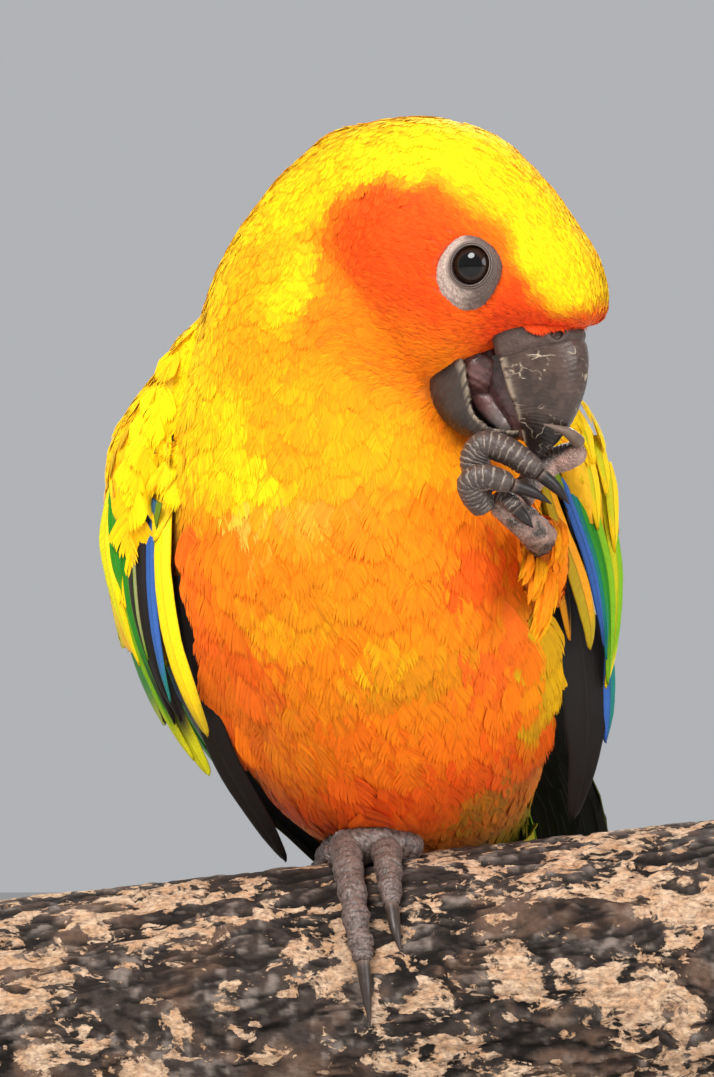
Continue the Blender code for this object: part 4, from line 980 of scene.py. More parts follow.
# toes at the bill: places, radii, then the claw's own places
raisedToes = {
    "1": (((22.0, -35.2, 56.0), (23.2, -36.6, 54.9), (24.0, -37.3, 53.9)), (1.4, 1.35, 1.2),
          ((24.0, -37.3, 53.9), (25.2, -37.7, 52.6), (26.4, -37.4, 51.2))),
    "2": (((19.0, -34.8, 54.6), (17.5, -36.4, 56.4), (17.2, -37.4, 58.2), (19.6, -38.2, 58.8), (23.4, -38.3, 57.6)),
          (2.3, 2.35, 2.3, 2.1, 1.6), ((23.4, -38.3, 57.6), (26.4, -37.6, 56.5), (29.2, -36.4, 54.8))),
    "3": (((19.8, -33.0, 57.0), (18.2, -33.8, 59.4), (17.8, -34.4, 61.7), (19.3, -35.0, 63.6), (22.1, -35.3, 63.0),
           (25.0, -35.4, 61.2), (27.5, -35.3, 59.3)), (2.2, 2.4, 2.6, 2.5, 2.3, 2.1, 1.7),
          ((27.5, -35.3, 59.3), (30.1, -34.6, 57.1), (31.9, -33.4, 54.8))),
    "4": (((24.6, -30.4, 55.6), (26.6, -28.8, 58.6), (29.6, -27.8, 61.2), (32.4, -28.8, 62.2), (33.6, -29.8, 63.6)),
          (2.2, 2.2, 2.2, 2.2, 1.9), ((33.4, -30.4, 64.2), (31.6, -33.4, 65.6), (28.0, -35.6, 66.8))),
}
shanks = {
    "right": (((4.6, 3.0, 15.0), (3.2, 0.6, 9.5), (2.2, -1.8, 4.6), (1.8, -2.6, 2.9)), (3.0, 2.6, 3.4, 3.0)),
    "left": (((28.8, -18.4, 47.6), (27.8, -24.4, 49.6), (26.0, -29.6, 51.4), (23.0, -32.4, 54.0), (20.6, -33.4, 56.0)),
             (2.8, 2.8, 2.7, 2.6, 2.3)),
}


def onPerch(degrees, x, lift):
    # a place over the perch's bark
    radius = perchRadius + lift
    turn = math.radians(degrees)
    rise = x * math.tan(math.radians(perchRise))
    return x, -radius * math.sin(turn), rise - perchRadius + radius * math.cos(turn)


def scaledLimb(name, path, radii, upward, side, replaced, seed, plates=True):
    # a toe or shank; plates lie across its upper face on the raised foot, short creases on the standing one
    look = footLook
    standing = side == "right"
    path, radii = np.asarray(path, float), np.asarray(radii, float) * look["slim"]
    length = np.linalg.norm(np.diff(path, axis=0), axis=1).sum()
    rows, columns = (max(50, int(length / 0.16)), 72) if standing else (int(length / 0.1), 88)
    rings = tubeRings(path, radii, rows, columns)
    points, faces = closedLoft(rings)
    normals = normalsOf(points, faces)
    centres = rings.mean(1)
    middle = np.concatenate((np.repeat(centres, columns, axis=0), centres[:1], centres[-1:]))
    along = np.concatenate((np.repeat(np.linspace(0, length, rows), columns), (0.0, length)))
    facing = (unitRows(points - middle) * unitRows(upward)).sum(-1)
    pads = 0.10 * np.sin(along * fullTurn / 3.6) * ramp(-facing, 0.0, 0.7)
    gapSmall = cellGap(points, look["cell"], seed)
    gapTiny = cellGap(points, 0.3, seed + 9)
    wander = fractal(points, 1.3, seed + 5, 3) - 0.5
    first, more = look["scute"]
    run = (along + 0.25 * np.sin(facing * 3.0) + 0.7 * wander).clip(0)
    band = np.abs((length / more * np.log1p(more * run / length / first)) % 1.0 - 0.5) * 2
    gapPlate = (1 - band) * 0.5 * (first + more * run / length)
    upper = ramp(facing + 0.5 * wander, 0.0, 0.3) if plates else np.zeros(len(points))
    gap = mix(gapSmall, gapPlate, upper)
    broken = ramp(fractal(points, 0.9, seed + 6, 3), 0.3, 0.5)
    netLine = 0.7 * (1 - ramp(gap, 0.01, 0.09)) * broken
    plateLine = (1 - ramp(gap, 0.03, 0.11)) * (0.12 + 0.6 * broken)
    line = mix(netLine, plateLine, upper)
    raised = mix(0.15 * ramp(gap, 0.0, 0.25), 0.12 * ramp(gap, 0.04, 0.2), upper)
    relief = raised + 0.06 * ramp(gapTiny, 0.0, 0.2) + 0.12 * wander + pads
    crease = np.zeros(len(points))
    if standing:
        knuckles = 0.14 * np.sin(along * fullTurn / 4.4 + seed)
        relief = relief + knuckles + 0.7 * (fractal(points, 1.5, seed + 7, 3) - 0.5)
        crease = ramp(np.cos((along + 1.3 * wander) * fullTurn / look["crease"]), 0.35, 0.95)
        crease = crease * ramp(fractal(points, 0.9, seed + 8, 3), 0.36, 0.56)
        relief = relief - 0.12 * crease
    points = points + normals * relief[:, None]
    edge = look["standingLine" if standing else "line"]
    mottle = fractal(points, 1.8, seed + 3, 3)
    # the raised foot's base colour is the darker one: painted shade
    colour = look["standing" if standing else "raised"] * (0.6 + 0.8 * mottle)[:, None]
    if standing:
        bare = 0.16 * ramp(-facing, 0.1, 0.6)
    else:
        bare = 0.85 * ramp(-facing, 0.0, 0.5) if plates else 0.72 * ramp(mottle + 0.3 * wander, 0.28, 0.62)
    colour = blend(colour, look["sole"], bare * (0.7 + 0.6 * wander))
    colour = blend(colour, edge, (0.9 if standing else 0.7) * line)
    colour = blend(colour, edge, 0.75 * crease)
    colour = blend(colour, look["claw"], 0.45 * (1 - ramp(gapTiny, 0.0, 0.12)))
    addPiece(name, points, faces, colour, scuteMaterial, replaced)


def clawPiece(name, path, replaced, pale, thick=1.0):
    look = footLook
    rows, columns = 60, 36
    radii = np.array(look["clawRadii"]) * thick
    points, faces = closedLoft(tubeRings(np.asarray(path, float), radii, rows, columns, endRound=False))
    normals = normalsOf(points, faces)
    share = np.concatenate((np.repeat(np.linspace(0, 1, rows), columns), (0.0, 1.0)))
    streak = fractal(np.stack((share * 2.0, points[:, 0], points[:, 2]), -1), 0.8, 131, 3)
    points = points + normals * (0.05 * (streak - 0.5))[:, None]
    colour = blend(look["claw"], look["clawPale"], pale) * (0.7 + 0.7 * streak)[:, None]
    colour = blend(colour, look["clawPale"], 0.6 * (1 - ramp(share, 0.0, 0.2)))
    addPiece(name, points, faces, colour, clawMaterial, replaced)


scuteMaterial = surface("footScutes", 0.44, 0.12, 1300.0, 0.3, 2400.0)
clawMaterial = surface("clawHorn", 0.36, 0.1, 1100.0, 0.1, 1800.0, Specular_IOR_Level=0.35)


def makeFeet():
    for number in "1234":
        toe, radii, claw = standingToes[number]
        path = [onPerch(d, x, r - 0.35) for (d, x), r in zip(toe, radii)]
        upward = np.mean(path, axis=0) - np.array((np.mean([p[0] for p in path]), 0.0, -perchRadius))
        scaledLimb("toe_%s_right_render" % number, path, radii, upward, "right", ("toe_%s_right" % number,),
                   200 + int(number), False)
        clawPath = [onPerch(d, x, r - 0.1) for (d, x), r in zip(claw, (1.3, 1.0, 0.35))]
        clawPiece("claw_%s_right_render" % number, clawPath, ("claw_%s_right" % number,), 0.15)
        toe, radii, claw = raisedToes[number]
        upward = np.array((-0.5, -0.75, 0.45)) if number != "4" else np.array((0.2, 0.3, 0.9))
        scaledLimb("toe_%s_left_render" % number, toe, radii, upward, "left", ("toe_%s_left" % number,),
                   210 + int(number))
        clawPiece("claw_%s_left_render" % number, claw, ("claw_%s_left" % number,),
                  0.9 if number == "4" else 0.0, 0.95 if number == "4" else 1.0)
    for side in ("right", "left"):
        path, radii = shanks[side]
        upward = np.array((0.0, -1.0, 0.2)) if side == "right" else np.array((-0.6, -0.2, -0.75))
        scaledLimb("tarsus_%s_render" % side, path, radii, upward, side, ("tarsus_" + side,),
                   230 + (side == "left"), False)
    # the standing foot's middle, where the toes meet
    palm = ((-4.0, -3.6, 0.4), (-0.8, -5.2, 1.7), (3.0, -5.2, 2.6), (6.6, -4.2, 2.4), (9.8, -2.4, 1.4))
    scaledLimb("palm_right_render", palm, (1.9, 3.1, 3.4, 2.8, 1.9), (0.0, -0.5, 0.8), "right", (), 240, False)


makeFeet()
print("feet made")


# coat: every feather is a fan of barbs from its shaft to a rounded, fringed outline

# rootShadeAndPaleTips: a barb's start darkened as painted shade, its tip paler
coatLook = {"faceLength": 2.3, "headLength": 4.2, "lift": 0.5, "patch": 0.003, "seed": 5, "rootShadeAndPaleTips": 0.1, "sheen": 0.04,
            "tries": 170000, "quickTries": 110000, "mostTriangles": 190000}
# distance down the body and the feathers' length there
coatSizes = ((-40.0, 3.8), (-12.0, 5.4), (0.0, 7.4), (20.0, 9.6), (40.0, 10.6), (60.0, 10.8), (80.0, 8.8))
# a feather's length and the distance between roots: close on the face, wider on the body
coatGaps = ((1.8, 0.46), (2.6, 0.62), (4.5, 1.15), (8.0, 2.15), (10.6, 2.9))
# for each part of the coat: barbs, width to length, lift, spread of brightness, fine barbs, seed, how loose it lies
coatKinds = {
    "face": {"barbs": 7, "width": 0.34, "lift": 0.12, "spread": 0.035, "fine": False, "seed": 401, "loose": 0.06},
    "head": {"barbs": 11, "width": 0.52, "lift": 0.20, "spread": 0.035, "fine": True, "seed": 402, "loose": 0.05},
    "neck": {"barbs": 21, "width": 0.72, "lift": 0.28, "spread": 0.035, "fine": True, "seed": 403, "loose": 0.03},
    "body": {"barbs": 39, "width": 0.86, "lift": 0.34, "spread": 0.03, "fine": True, "seed": 404, "loose": 0.02},
    "arm": {"barbs": 27, "width": 0.86, "lift": 0.3, "spread": 0.04, "fine": True, "seed": 405, "loose": 0.0},
}


def fromThigh(points, side):
    # distance from a thigh's middle, 1 a little outside its surface
    middle, radii = thighs[side]
    return np.sqrt((((points - middle) / (np.asarray(radii) + 1.5)) ** 2).sum(-1))


def flow(points, normals):
    # the way feathers lie: back from the bill, down the body, and down the thighs
    along = bodyPlace(points)[3]
    f, l, t = headPlace(points)
    fromBill = unitRows(points - inHead(17.0, 0.0, -4.0))
    headward = unitRows(-forward * 0.75 - top * 0.15 + 0.55 * fromBill)
    onHead = ramp(f, -15.0, -3.0) * ramp(t, -25.0, -18.0) * (1 - ramp(np.abs(l), 20.0, 24.0))
    heading = blend(along, headward, onHead)
    for side, goal in (("left", (30.6, -25.0, 34.0)), ("right", (4.0, -1.0, 2.0))):
        near = 1 - ramp(fromThigh(points, side), 0.95, 1.25)
        heading = blend(heading, unitRows(np.asarray(goal) - points), near)
    swirl = (fractal(points, 12.0, 301, 2) - 0.5) * 0.5
    heading = heading + np.cross(normals, heading) * swirl[:, None]
    heading = heading - normals * (heading * normals).sum(-1, keepdims=True)
    return unitRows(heading)


def headShare(points):
    f, l, t = headPlace(points)
    share = ramp(f, -30.0, -18.0) * ramp(t, -27.0, -19.0) * (1 - ramp(np.abs(l), 20.0, 26.0))
    return np.maximum(share * (1 - ramp(f, 23.0, 26.0)), ramp(points[:, 2], 94.0, 100.0))


def coatLength(points):
    f, _, t = headPlace(points)
    length = np.interp(bodyPlace(points)[0], *np.array(coatSizes).T)
    fore = np.maximum(ramp(f, -16.0, 2.0), 0.75 * (1 - ramp(np.hypot(f + 2.0, t) / 16.0, 0.7, 1.2)))
    length = mix(length, mix(coatLook["headLength"], coatLook["faceLength"], fore), headShare(points))
    onThigh = 1 - ramp(fromThigh(points, "left"), 0.95, 1.2)
    return length * (1 - 0.45 * onThigh)


def coatSpacing(length):
    return np.interp(length, *np.array(coatGaps).T)


def sampleSkin(count, seed):
    # random places on the skin, more of them where feathers are short
    rng = np.random.default_rng(seed)
    corner = skinPoints[skinFaces]
    area = 0.5 * np.linalg.norm(np.cross(corner[:, 1] - corner[:, 0], corner[:, 2] - corner[:, 0]), axis=1)
    weight = area / coatSpacing(coatLength(corner.mean(1))) ** 2
    pick = rng.choice(len(skinFaces), count, p=weight / weight.sum())
    u, v = rng.random((2, count))
    over = u + v > 1
    u[over], v[over] = 1 - u[over], 1 - v[over]
    share = np.stack((1 - u - v, u, v), -1)
    points = (corner[pick] * share[..., None]).sum(1)
    normals = unitRows((skinNormals[skinFaces[pick]] * share[..., None]).sum(1))
    pairs = (skinPairs[pick] * share[..., None]).sum(1)
    return points, normals, pairs


def spread(points, radius):
    # keeps points that lie at least their radius apart
    tree = KDTree(len(points))
    for k, point in enumerate(points):
        tree.insert(point, k)
    tree.balance()
    blocked = np.zeros(len(points), bool)
    kept = []
    for k, point in enumerate(points):
        if blocked[k]:
            continue
        kept.append(k)
        for _, other, _ in tree.find_range(point, radius[k]):
            blocked[other] = True
    return np.array(kept)


def nearestOnSkin(points):
    places, normals = np.empty_like(points), np.empty_like(points)
    for k, point in enumerate(points):
        spot, normal, _, _ = skinTree.find_nearest(point)
        places[k], normals[k] = spot, normal
    return places, normals


def freeRoots(points):
    # leaves out the eyes' rings, the bill and the mouth, and what lies under the flight feathers
    free = np.ones(len(points), bool)
    for sign in (-1, 1):
        height, across, reach = fromEye(points, sign)
        free &= ~((height > -1.0) & (across < reach + 0.05))
    f, l, t = headPlace(points)
    free &= ~((f > 14.5) & (t < 1.0) & (t > -8.0) & (np.abs(l) < 6.2))
    free &= ~((f > 4.5) & (f < 20.0) & (t < -9.5) & (t > -20.0) & (np.abs(l) < 5.2))
    down, around, _, _ = bodyPlace(points)
    free &= ~((down > 46.0) & (np.abs(around) < 86.0) & (np.abs(around) > 22.0))
    for path, radii in shanks.values():
        for place, reach in zip(path, radii):
            free &= np.linalg.norm(points - np.asarray(place), axis=1) > reach + 0.4
    return free


def barbFans(name, kind, spine, normals, heading, pairs, length, shade):
    # spine holds each shaft's root, middle and tip, normals the outward directions at root and tip
    look = coatLook
    rng = np.random.default_rng(kind["seed"])
    roots, middle, tip = spine
    count, barbs, fine, width = len(roots), kind["barbs"], kind["fine"], kind["width"]
    # u runs from one side of a feather to the other, t from its root to its tip, q along a barb
    lift = kind["lift"] * look["lift"] * (1 + rng.exponential(1.0, count) * kind["loose"] * 8)[:, None, None]
    shade = shade * (1 + rng.normal(0, kind["spread"], count))[:, None]
    shade = shade * np.stack((np.ones(count), 1 + rng.normal(0, 0.05, count), np.ones(count)), -1)
    u = np.linspace(-1, 1, barbs)[None, :] + rng.uniform(-0.3, 0.3, (count, barbs)) * 2 / barbs
    bend = np.radians(80.0) * u
    startAt = 0.02 + 0.58 * (1 - np.abs(u).clip(0, 1)) ** 0.8
    endAt = (0.58 + 0.42 * np.cos(bend)) * rng.uniform(0.92, 1.05, u.shape)
    endAt = np.maximum(endAt, startAt + 0.18)
    reach = np.sin(bend) * width * 0.5
    q = np.array((0.0, 0.42, 0.80, 1.0) if fine else (0.0, 0.5, 1.0))
    thick = np.array((0.5, 1.0, 0.72, 0.0) if fine else (0.4, 1.0, 0.0))
    barbWidth = width / barbs * (2.1 if fine else 1.8)
    t = startAt[..., None] + (endAt - startAt)[..., None] * q
    x = reach[..., None] * (1 - (1 - q) ** 1.7)
    dx = np.gradient(x, axis=-1)
    dy = np.gradient(t, axis=-1)
    norm = np.hypot(dx, dy) + 1e-9
    px, py = -dy / norm, dx / norm
    twist = rng.normal(0, 0.02, u.shape)[..., None] + 0.012
    rise = rng.normal(0, 0.022, u.shape)[..., None]
    size = length[:, None, None]
    grids = []
    for edge in (-0.5, 0.5):
        ex = x + px * thick * barbWidth * edge
        et = np.clip(t + py * thick * barbWidth * edge, 0, 1.12)
        weights = ((1 - et) * (1 - 2 * et), 4 * et * (1 - et), et * (2 * et - 1))
        base = sum(w[..., None] * p[:, None, None, :] for w, p in zip(weights, (roots, middle, tip)))
        up = unitRows((1 - et)[..., None] * normals[0][:, None, None, :] + et[..., None] * normals[1][:, None, None, :])
        across = unitRows(np.cross(heading, normals[0]))[:, None, None, :]
        across = np.cross(unitRows(np.cross(up, across)), up)
        height = 0.08 + lift * et * (1 + 0.1 * size) - 0.28 * (ex / (width * 0.5)) ** 2 * lift
        height = height + rise * et + twist * edge * 2
        grids.append(base + across * (ex * size)[..., None] + up * height[..., None])
    steps = len(q)
    ribbon = np.stack(grids, axis=3).reshape(count * barbs, steps * 2, 3)
    ribbon = np.concatenate((ribbon[:, :-2], ribbon[:, -2:].mean(1, keepdims=True)), axis=1)
    perRibbon = steps * 2 - 1
    local = []
    for k in range(steps - 2):
        local += [(2 * k, 2 * k + 1, 2 * k + 3), (2 * k, 2 * k + 3, 2 * k + 2)]
    local.append((2 * steps - 4, 2 * steps - 3, 2 * steps - 2))
    local = np.array(local)
    faces = (np.arange(count * barbs)[:, None, None] * perRibbon + local[None]).reshape(-1, 3)
    share = np.repeat(q, 2)[:-1]
    streak = rng.normal(0, 0.055, (count, barbs))
    streak[:, barbs // 2] -= 0.06
    # each barb darker at its start by the shaft, as painted shade under the barbs that lie over it, and paler towards
    # its tip
    rootShadeAndPaleTips = (0.9 + look["rootShadeAndPaleTips"] * share)[None, None, :] * (1 + streak)[..., None]
    colour = (shade[:, None, None, :] * rootShadeAndPaleTips[..., None]).reshape(-1, 3)
    patch = np.stack((np.repeat(x, 2, axis=-1)[..., :-1] / width, np.repeat(t, 2, axis=-1)[..., :-1] - 0.5), -1)
    patch = (pairs[:, None, None, :] + patch * look["patch"]).reshape(-1, 2)
    flat = ribbon.reshape(-1, 3)
    ribbonsPerPiece = look["mostTriangles"] // len(local)
    for number, start in enumerate(range(0, count * barbs, ribbonsPerPiece)):
        end = min(start + ribbonsPerPiece, count * barbs)
        part = slice(start * perRibbon, end * perRibbon)
        partFaces = faces[start * len(local):end * len(local)] - start * perRibbon
        title = "%s_%d" % (name, number + 1)
        addPiece(title, flat[part], partFaces, colour[part], coatMaterial, (), (("OFBake", patch[part]),))
    print(name, count, "feathers,", len(faces), "triangles")


def skinCoat(name, kind, points, normals, pairs, shade=None, scale=1.0):
    # feathers that lie along the skin, bent round it in two steps
    rng = np.random.default_rng(kind["seed"] + 50)
    length = coatLength(points) * rng.uniform(0.88, 1.12, len(points)) * scale
    heading = flow(points, normals)
    side = np.cross(heading, normals)
    heading = unitRows(heading + side * rng.normal(0, 0.11, len(points))[:, None])
    half = (length / 2)[:, None]
    middle, middleNormals = nearestOnSkin(points + heading * half)
    onward = unitRows(middle - points + 0.5 * flow(middle, middleNormals) * half)
    tip, tipNormals = nearestOnSkin(middle + onward * half)
    if shade is None:
        shade = plumage(mix(points, tip, 0.7))
    barbFans(name, kind, (points, middle, tip), (normals, tipNormals), heading, pairs, length, shade)


coatMaterial = surface("coatBarbs", 0.75, 0.05, 900.0, Sheen_Weight=coatLook["sheen"], Sheen_Roughness=0.5,
                       Specular_IOR_Level=0.18)
# the locks that hang from the raised leg's thigh: root, middle and tip, how many, their spread
thighLocks = (
    ((28.9, -20.0, 49.0), (29.2, -25.4, 42.0), (27.1, -26.0, 34.6), 14, 0.4),
    ((27.4, -20.0, 49.0), (27.8, -25.6, 44.6), (26.4, -26.2, 40.2), 9, 0.5),
    ((26.0, -20.0, 48.4), (26.4, -26.0, 45.4), (25.2, -26.8, 43.0), 9, 0.45),
    ((30.2, -19.0, 52.0), (30.8, -24.4, 48.6), (29.6, -25.2, 45.0), 10, 0.7),
)
# the orange body's edge as the camera side shows it: height, and X on the bird's right and left
flankEdge = ((57.0, -28.6, 30.0), (45.9, -27.6, 31.0), (38.3, -25.6, 31.2), (30.7, -24.5, 31.4), (23.2, -22.6, 31.2),
             (18.0, -20.3, 30.6), (13.0, -18.2, 29.8), (8.0, -13.6, 27.6), (2.9, -9.7, 25.0), (-4.0, -6.0, 22.0))


def spineCoat(name, kind, spines, outward, shade, extra=1.5):
    # feathers on spines given as root, middle and tip
    spines, outward = np.asarray(spines), np.asarray(outward)
    heading = unitRows(spines[:, 1] - spines[:, 0])
    length = np.linalg.norm(spines[:, 2] - spines[:, 0], axis=1) + extra
    corner = np.array([np.linalg.norm(skinPoints - root, axis=1).argmin() for root in spines[:, 0]])
    pairOf = np.zeros((len(skinPoints), 2))
    pairOf[skinFaces.ravel()] = skinPairs.reshape(-1, 2)
    barbFans(name, kind, (spines[:, 0], spines[:, 1], spines[:, 2]), (outward, outward), heading, pairOf[corner],
             length, shade)


def flankPlace(sign, x, z, lift):
    # a place over the skin as the front shows it, and beyond its edge one on a slant from it
    for inward in np.arange(0.0, 14.0, 0.5):
        spot, normal, _, _ = skinTree.ray_cast(Vector((x - sign * inward, -80.0, z)), Vector((0.0, 1.0, 0.0)))
        if spot is not None and abs(normal[0]) < 0.74:
            return x, spot[1] + 0.9 * inward - lift, z
    return x, -9.0 - lift, z


def makeLocks():
    # narrow feathers on the raised leg's thigh, and a cuff of them round its shank
    rng = np.random.default_rng(77)
    spines = []
    for *places, count, loose in thighLocks:
        for _ in range(count):
            spines.append(np.array(places) + rng.normal(0, loose, (1, 3)) + rng.normal(0, 0.3 * loose, (3, 3)))
    outward = np.tile(unitRows(np.array((0.15, -1.0, 0.1))), (len(spines), 1))
    shank = np.array(shanks["left"][0])
    _, side, up = frameAlong(shank)
    axis = shank[1] - shank[0]
    for turn in turnsOf(22):
        spoke = side[0] * math.cos(turn) + up[0] * math.sin(turn)
        reach = rng.uniform(0.7, 1.05)
        spines.append([shank[0] + axis * share * reach + spoke * wide
                       for share, wide in ((-0.1, 3.2), (0.35, 3.5), (0.8, 3.0))])
        outward = np.vstack((outward, spoke))
    shade = blend(plumeLook["breast"], plumeLook["mantle"], rng.uniform(0.0, 0.5, len(spines))) * 0.92
    kind = dict(coatKinds["neck"], width=0.09, barbs=9, lift=0.15, seed=409)
    spineCoat("coat_lock", kind, spines, outward, shade)
    return rng


def makeFlanks(rng):
    # feathers along both flanks, over the wings' edges
    heights, rightEdge, leftEdge = np.array(flankEdge).T[:, ::-1]
    spines, outward, shades = [], [], []
    for sign, edge in ((-1, rightEdge), (1, leftEdge)):
        for height in np.arange(47.0 if sign < 0 else 35.0, 15.0, -0.62):
            inward = rng.uniform(2.2, 3.6) if rng.random() < 0.45 else rng.uniform(3.6, 9.0)
            long = rng.uniform(7.5, 11.5)
            lean = rng.uniform(-0.8, 2.4)
            spine = []
            for share, lift in ((0.0, 0.0), (0.5, 0.35), (1.0, 0.45)):
                z = height + rng.uniform(-0.3, 0.3) + long * (0.6 - share)
                x = np.interp(z, heights, edge) - sign * (inward + lean * (1 - share))
                spine.append(flankPlace(sign, x, z, lift))
            spines.append(spine)
            outward.append(unitRows(np.array((0.5 * sign, -0.86, 0.0))))
            shades.append(plumage(np.array(spine[2:3]))[0] * rng.uniform(0.94, 1.08))
    shades = np.array(shades)
    # the outermost ones on the bird's right are salmon
    tips = np.array(spines)[:, 2]
    salmon = (tips[:, 0] < 0) * ramp(tips[:, 2], 6.0, 12.0) * (1 - ramp(tips[:, 2], 40.0, 48.0))
    inner = np.interp(tips[:, 2], heights, rightEdge) * -1 + tips[:, 0]
    salmon = salmon * (1 - 0.9 * ramp(inner, 3.5, 8.0))
    shades = blend(shades, plumeLook["flame"], rng.uniform(0.3, 0.8, len(shades)) * salmon)
    kind = dict(coatKinds["body"], width=0.62, lift=0.25, seed=411, barbs=35)
    spineCoat("coat_flank", kind, spines, outward, shades, 0.8)


def makeBrow(rng):
    # short feathers that reach over the cere
    rings, _ = upperBillRings(rows=60, arch=61, under=15, grow=0.6)
    perStation = (len(rings) - 1) / (len(upperRows) - 1)
    spines, outward = [], []
    for _ in range(240):
        column = int(rng.integers(9, 52))
        rows = (np.array((0.05, 0.52, 1.0)) * rng.uniform(0.8, 1.15) * perStation).round().astype(int)
        spine = rings[rows, column]
        out = unitRows(spine[1] - inHead(14.0, 0.0, -5.0))
        spines.append(spine + out * np.array((0.0, 0.35, 0.25))[:, None])
        outward.append(out)
    shade = plumage(np.array(spines)[:, 0]) * rng.uniform(0.74, 0.92, (len(spines), 1))
    kind = dict(coatKinds["face"], width=0.36, lift=0.15, seed=413)
    spineCoat("coat_brow", kind, spines, outward, shade, 0.2)


def makeCoat():
    look = coatLook
    points, normals, pairs = sampleSkin(look["tries"], look["seed"])
    free = freeRoots(points)
    points, normals, pairs = points[free], normals[free], pairs[free]
    kept = spread(points, coatSpacing(coatLength(points)))
    points, normals, pairs = points[kept], normals[kept], pairs[kept]
    length = coatLength(points)
    down, around, radius, _ = bodyPlace(points)
    onArm = (radius > 1.07) & (down > -8.0) & (down < 37.0) & (np.abs(around) < 112.0)
    x, y, z = points.T
    atEdge = (np.abs(x) > 29.0) & (y < 4.0) & (z < np.where(x > 0, 64.0, 47.0))
    parts = {"face": ~onArm & (length < 2.7), "head": ~onArm & (length >= 2.7) & (length < 3.9),
             "neck": ~onArm & (length >= 3.9) & (length < 7.0), "body": ~onArm & (length >= 7.0)}
    for name, part in parts.items():
        skinCoat("coat_" + name, coatKinds[name], points[part], normals[part], pairs[part])
    arm = onArm & ~atEdge
    shade = blend(plumeLook["mantle"], plumeLook["yellow"], fractal(points[arm], 6.0, 404, 2))
    green = ramp(down[arm] + 8 * (fractal(points[arm], 5.0, 405, 2) - 0.5), 27.0, 34.0)
    shade = blend(shade, plumeLook["green"], 0.6 * green)
    skinCoat("coat_arm", coatKinds["arm"], points[arm], normals[arm], pairs[arm], shade, 0.9)


makeCoat()
lockDraws = makeLocks()
makeFlanks(lockDraws)
makeBrow(lockDraws)
print("coat made")


# wings and tail: vanes with a shaft, in tiers

vaneLook = {"thick": 0.22, "rows": 20, "shaft": 0.14, "rag": 0.05}
# places across a vane, from one edge over the shaft to the other
vaneColumns = np.array((-1.0, -0.86, -0.66, -0.44, -0.22, -0.05, 0.0, 0.05, 0.22, 0.44, 0.66, 0.86, 1.0))
vaneShades = {
    "yellow": tint(252, 206, 2), "mustard": tint(176, 148, 8), "green": tint(36, 128, 18), "leaf": tint(120, 170, 6),
    "blue": tint(54, 98, 172), "teal": tint(24, 122, 112), "navy": tint(16, 26, 66), "dark": tint(22, 14, 10),
    "dusky": tint(40, 32, 26), "olive": tint(92, 100, 14), "amber": tint(232, 150, 4), "pale": tint(150, 150, 96),
    "lime": tint(206, 200, 10),
}


def vaneWidth(t, blunt):
    # a vane's width along it, narrower at the root and rounded off from blunt on
    root = 0.55 + 0.45 * np.minimum(1.0, t / 0.35)
    tip = np.maximum(0.0, (t - blunt) / (1 - blunt))
    return root * np.sqrt(np.maximum(0.004, 1 - tip ** 2))


class VaneSet:
    # vanes gathered into one piece, each with its own place on the OFBake map
    def __init__(self, seed):
        self.rng = np.random.default_rng(seed)
        self.points, self.faces, self.colours, self.pairs, self.barbs = [], [], [], [], []
        self.count, self.number = 0, 0

    def add(self, upper, lower, colours, halves, lengths):
        rows, columns = upper.shape[:2]
        points, faces = shellOf(upper, lower)
        self.points.append(points)
        self.faces.append(faces + self.count)
        self.count += len(points)
        self.colours.append(np.concatenate((colours[0].reshape(-1, 3), colours[1].reshape(-1, 3))))
        across = np.broadcast_to(vaneColumns[None, :], (rows, columns))
        along = np.broadcast_to(lengths[:, None], (rows, columns))
        slot = self.number
        self.number += 1
        u = (slot % 16 + 0.5 + 0.45 * across) / 16
        v = (slot // 16 + 0.05 + 0.9 * along / max(lengths[-1], 1e-6)) / 6
        self.pairs.append(np.tile(np.stack((u, v), -1).reshape(-1, 2), (2, 1)))
        reach = np.abs(across) * halves[:, None]
        barb = np.stack(((along - reach * 0.9) * 2.2, reach * 0.18 + np.sign(across) * 3.0 + slot * 1.7), -1)
        self.barbs.append(np.tile(barb.reshape(-1, 2), (2, 1)))

    def finish(self, name, replaced=()):
        points, faces, colours, pairs, barbs = (
            np.concatenate(rows) for rows in (self.points, self.faces, self.colours, self.pairs, self.barbs))
        addPiece(name, points, faces, colours, vaneMaterial, replaced, (("OFBake", pairs), ("barbs", barbs)))
        print(name, self.number, "vanes")


vaneMaterial = surface("vaneBarbs", 0.55, 0.16, 3.0, 0.3, 5.0, stripes=True, Sheen_Weight=0.03,
                       Specular_IOR_Level=0.25)


def vaneColours(rows, shades, rng, tipAt=0.8, line=0.8):
    # shades: web at the front edge, web at the back edge, tip, shaft, underside
    frontShade, backShade, tipShade, shaft, underShade = shades
    t = np.linspace(0, 1, rows)[:, None]
    across = vaneColumns[None, :]
    colour = blend(backShade, frontShade, ramp(across, -0.12, 0.1) + 0 * t)
    colour = blend(colour, tipShade, ramp(t + 0.08 * across ** 2, tipAt - 0.14, tipAt + 0.1) + 0 * across)
    colour = blend(colour, shaft, line * (np.abs(across) < 0.02) * (1 - ramp(t, 0.8, 1.0)))
    colour = colour * rng.uniform(0.9, 1.1)
    under = blend(underShade, shaft, 0.6 * (np.abs(across) < 0.02) + 0 * t)
    return colour, under * rng.uniform(0.9, 1.1)


